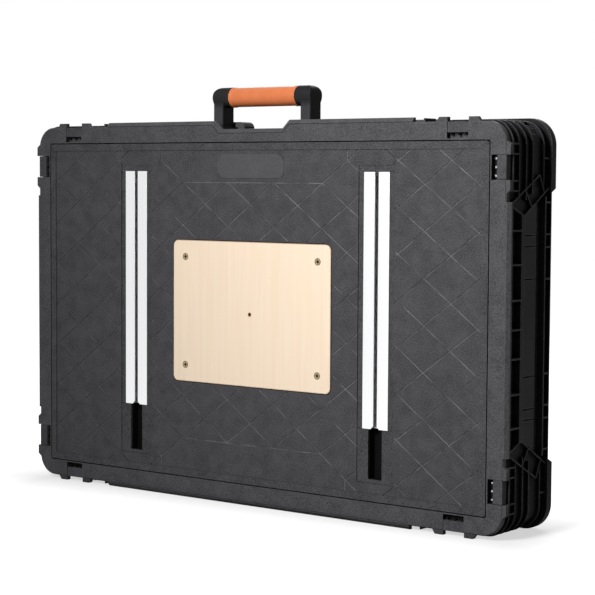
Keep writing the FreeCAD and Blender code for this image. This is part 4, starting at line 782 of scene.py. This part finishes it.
def add_rail_screws(side, x):
    """Screws that hold the flanges of a rail's bed behind the worktop."""
    places = [(x + way * BED_SCREW_REACH, BED_FLANGE_BACK, level) for way in (-1, 1)
              for level in BED_SCREW_LEVELS]
    add_screws(side + "_rail_bed_screws", places, (0, 1, 0), BED_HEAD, "bench")


def add_leg_screws(side, mirror, lane):
    """Screws in the knuckles and collars of one leg frame, and in its lock bracket on the end wall."""
    places = []
    for way in (-1, 1):
        places += [(mirror * (HINGE_X - along), KNUCKLE_BACK, way * lane) for along in KNUCKLE_SCREWS]
        places.append((mirror * (HINGE_X - COLLAR_SCREW), COLLAR_BACK, way * lane))
    add_screws(side + "_leg_screws", places, (0, 1, 0), LEG_HEAD, side + "_legs")
    places = [(mirror * LOCK_BASE_X, depth, LOCK_SCREW_LEVEL) for depth in LOCK_SCREW_DEPTHS]
    add_screws(side + "_lock_bracket_screws", places, (-mirror, 0, 0), LOCK_HEAD, "bench")


def add_spreader_screws():
    """Screws through the inner legs into the ends of the spreader."""
    for name, way in (("upper", 1), ("lower", -1)):
        places = [(HINGE_X - along, HINGE_DEPTH, way * SPREADER_SCREW_FACE) for along in SPREADER_SCREWS]
        add_screws("right_spreader_%s_screws" % name, places, (0, 0, way), SPREADER_HEAD, "right_legs")


def add_end_stop(side, rail_x):
    """Stop behind the worktop that closes the top of a rail."""
    outline = [(rail_x + x, height) for x, height in STOP_OUTLINE]
    add_block(side + "_rail_end_stop", outline, STOP_DEPTHS)


def add_pocket_corner(corner, way_x, way_z):
    """Rounded corner of the insert's pocket, between its two straight walls."""
    middle_x, middle_z = POCKET_X - POCKET_ROUND, POCKET_Z - POCKET_ROUND
    wall_x, wall_z = POCKET_X + POCKET_BITE, POCKET_Z + POCKET_BITE
    turns = [math.pi / 2.0 * i / POCKET_STEPS for i in range(POCKET_STEPS + 1)]
    outline = [(middle_x + POCKET_ROUND * math.cos(a), middle_z + POCKET_ROUND * math.sin(a)) for a in turns]
    outline += [(middle_x, wall_z), (wall_x, wall_z), (wall_x, middle_z)]
    outline = [(way_x * x, way_z * height) for x, height in outline]
    add_block("insert_pocket_%s_corner" % corner, outline, POCKET_DEPTHS)


def add_corner_skin(corner, way_x, way_z):
    """Curved skin of a bumper where its two arms meet, with the ribs carried round the corner."""
    profile = [(depth, CORNER_INSIDE) for depth in CORNER_DEPTHS]
    for front, back, reach in reversed(CORNER_RIBS):
        profile += [(back, CORNER_OUTSIDE), (back, reach), (front, reach), (front, CORNER_OUTSIDE)]
    shape = bmesh.new()
    rings = []
    for i in range(CORNER_STEPS + 1):
        angle = math.radians(CORNER_FROM + (CORNER_TO - CORNER_FROM) * i / CORNER_STEPS)
        rings.append([shape.verts.new(on_frame(way_x * (CORNER_X + reach * math.cos(angle)), depth,
                                               way_z * (CORNER_Z + reach * math.sin(angle))))
                      for depth, reach in profile])
    join_rings(shape, rings)
    keep_piece(shape, "bumper_%s_corner" % corner, "bench", BUMPER_FINISH)


def add_small_pieces():
    """Fasteners, rail stops, and the rounded corners of the bumpers and of the insert's pocket."""
    for side, mirror, lane in (("left", -1, OUTER_LANE), ("right", 1, INNER_LANE)):
        add_rail_screws(side, mirror * RAIL_X)
        add_leg_screws(side, mirror, lane)
        add_end_stop(side, mirror * RAIL_X)
    add_spreader_screws()
    for corner, (way_x, way_z) in CORNERS.items():
        add_corner_skin(corner, way_x, way_z)
        add_pocket_corner(corner, way_x, way_z)


# Studio


def showing(tree):
    """1 for rays that show the studio, straight or in metal and glass, and 0 for rays that light things."""
    ray = place_node(tree, "LightPath").outputs
    seen = sums(tree, "MAXIMUM", ray["Is Camera Ray"], ray["Is Glossy Ray"])
    return sums(tree, "MAXIMUM", seen, ray["Is Transmission Ray"])


def add_floor():
    """White floor that takes the bench's shadow and meets the white background with no edge."""
    bpy.ops.mesh.primitive_plane_add(size=FLOOR_SIZE)
    floor = bpy.context.object
    floor.name = "studio_floor"
    made, tree, shader = new_finish("white studio floor")
    shader["Roughness"].default_value = FLOOR_ROUGH
    shader["Specular IOR Level"].default_value = 0.0
    shader["Emission Strength"].default_value = 1.0
    seen = showing(tree)
    tree.links.new(blend_colours(tree, seen, FLOOR_BOUNCE, FLOOR_WHITE), shader["Base Color"])
    away = outside_box(tree, surface_spot(tree), ORIGIN, FOOT_HALF)
    glow = between(tree, away, (0.0, FLOOR_FAR), (FLOOR_GLOW, 1.0))
    tree.links.new(sums(tree, "MULTIPLY", glow, seen), shader["Emission Color"])
    floor.data.materials.append(made)


def light_studio():
    """White surroundings that add little light, and the soft lamps."""
    world = bpy.data.worlds.new("white studio")
    bpy.context.scene.world = world
    world.use_nodes = True
    tree = world.node_tree
    shade = tree.nodes["Background"].inputs
    shade["Color"].default_value = colour(1.0, 1.0, 1.0)
    tree.links.new(between(tree, showing(tree), RISING, (AMBIENT, 1.0)), shade["Strength"])
    for name, (place, aim, width, height, spread, watts) in LAMPS.items():
        data = bpy.data.lights.new(name, "AREA")
        data.shape = "RECTANGLE"
        data.size = width
        data.size_y = height
        data.spread = math.radians(spread)
        data.energy = watts
        lamp = bpy.data.objects.new(name, data)
        lamp.location = place
        lamp.rotation_euler = (Vector(aim) - Vector(place)).to_track_quat("-Z", "Y").to_euler()
        bpy.context.scene.collection.objects.link(lamp)


def add_camera():
    """Camera at the photograph's place, angle and slight roll."""
    azimuth, elevation, roll = (math.radians(a) for a in (CAMERA_AZIMUTH, CAMERA_ELEVATION, CAMERA_ROLL))
    back = Vector((math.sin(azimuth) * math.cos(elevation), -math.cos(azimuth) * math.cos(elevation),
                   math.sin(elevation)))
    right = Vector((math.cos(azimuth), math.sin(azimuth), 0.0))
    up = back.cross(right)
    across = right * math.cos(roll) + up * math.sin(roll)
    upright = up * math.cos(roll) - right * math.sin(roll)
    data = bpy.data.cameras.new("photo_camera")
    data.sensor_width = CAMERA_SENSOR
    data.lens = CAMERA_LENS
    camera = bpy.data.objects.new("photo_camera", data)
    camera.matrix_world = Matrix((across, upright, back)).transposed().to_4x4()
    camera.location = CAMERA_PLACE
    bpy.context.scene.collection.objects.link(camera)
    bpy.context.scene.camera = camera


finish_nodes()
add_small_pieces()
add_floor()
light_studio()
add_camera()
bpy.context.scene.view_settings.view_transform = "Standard"
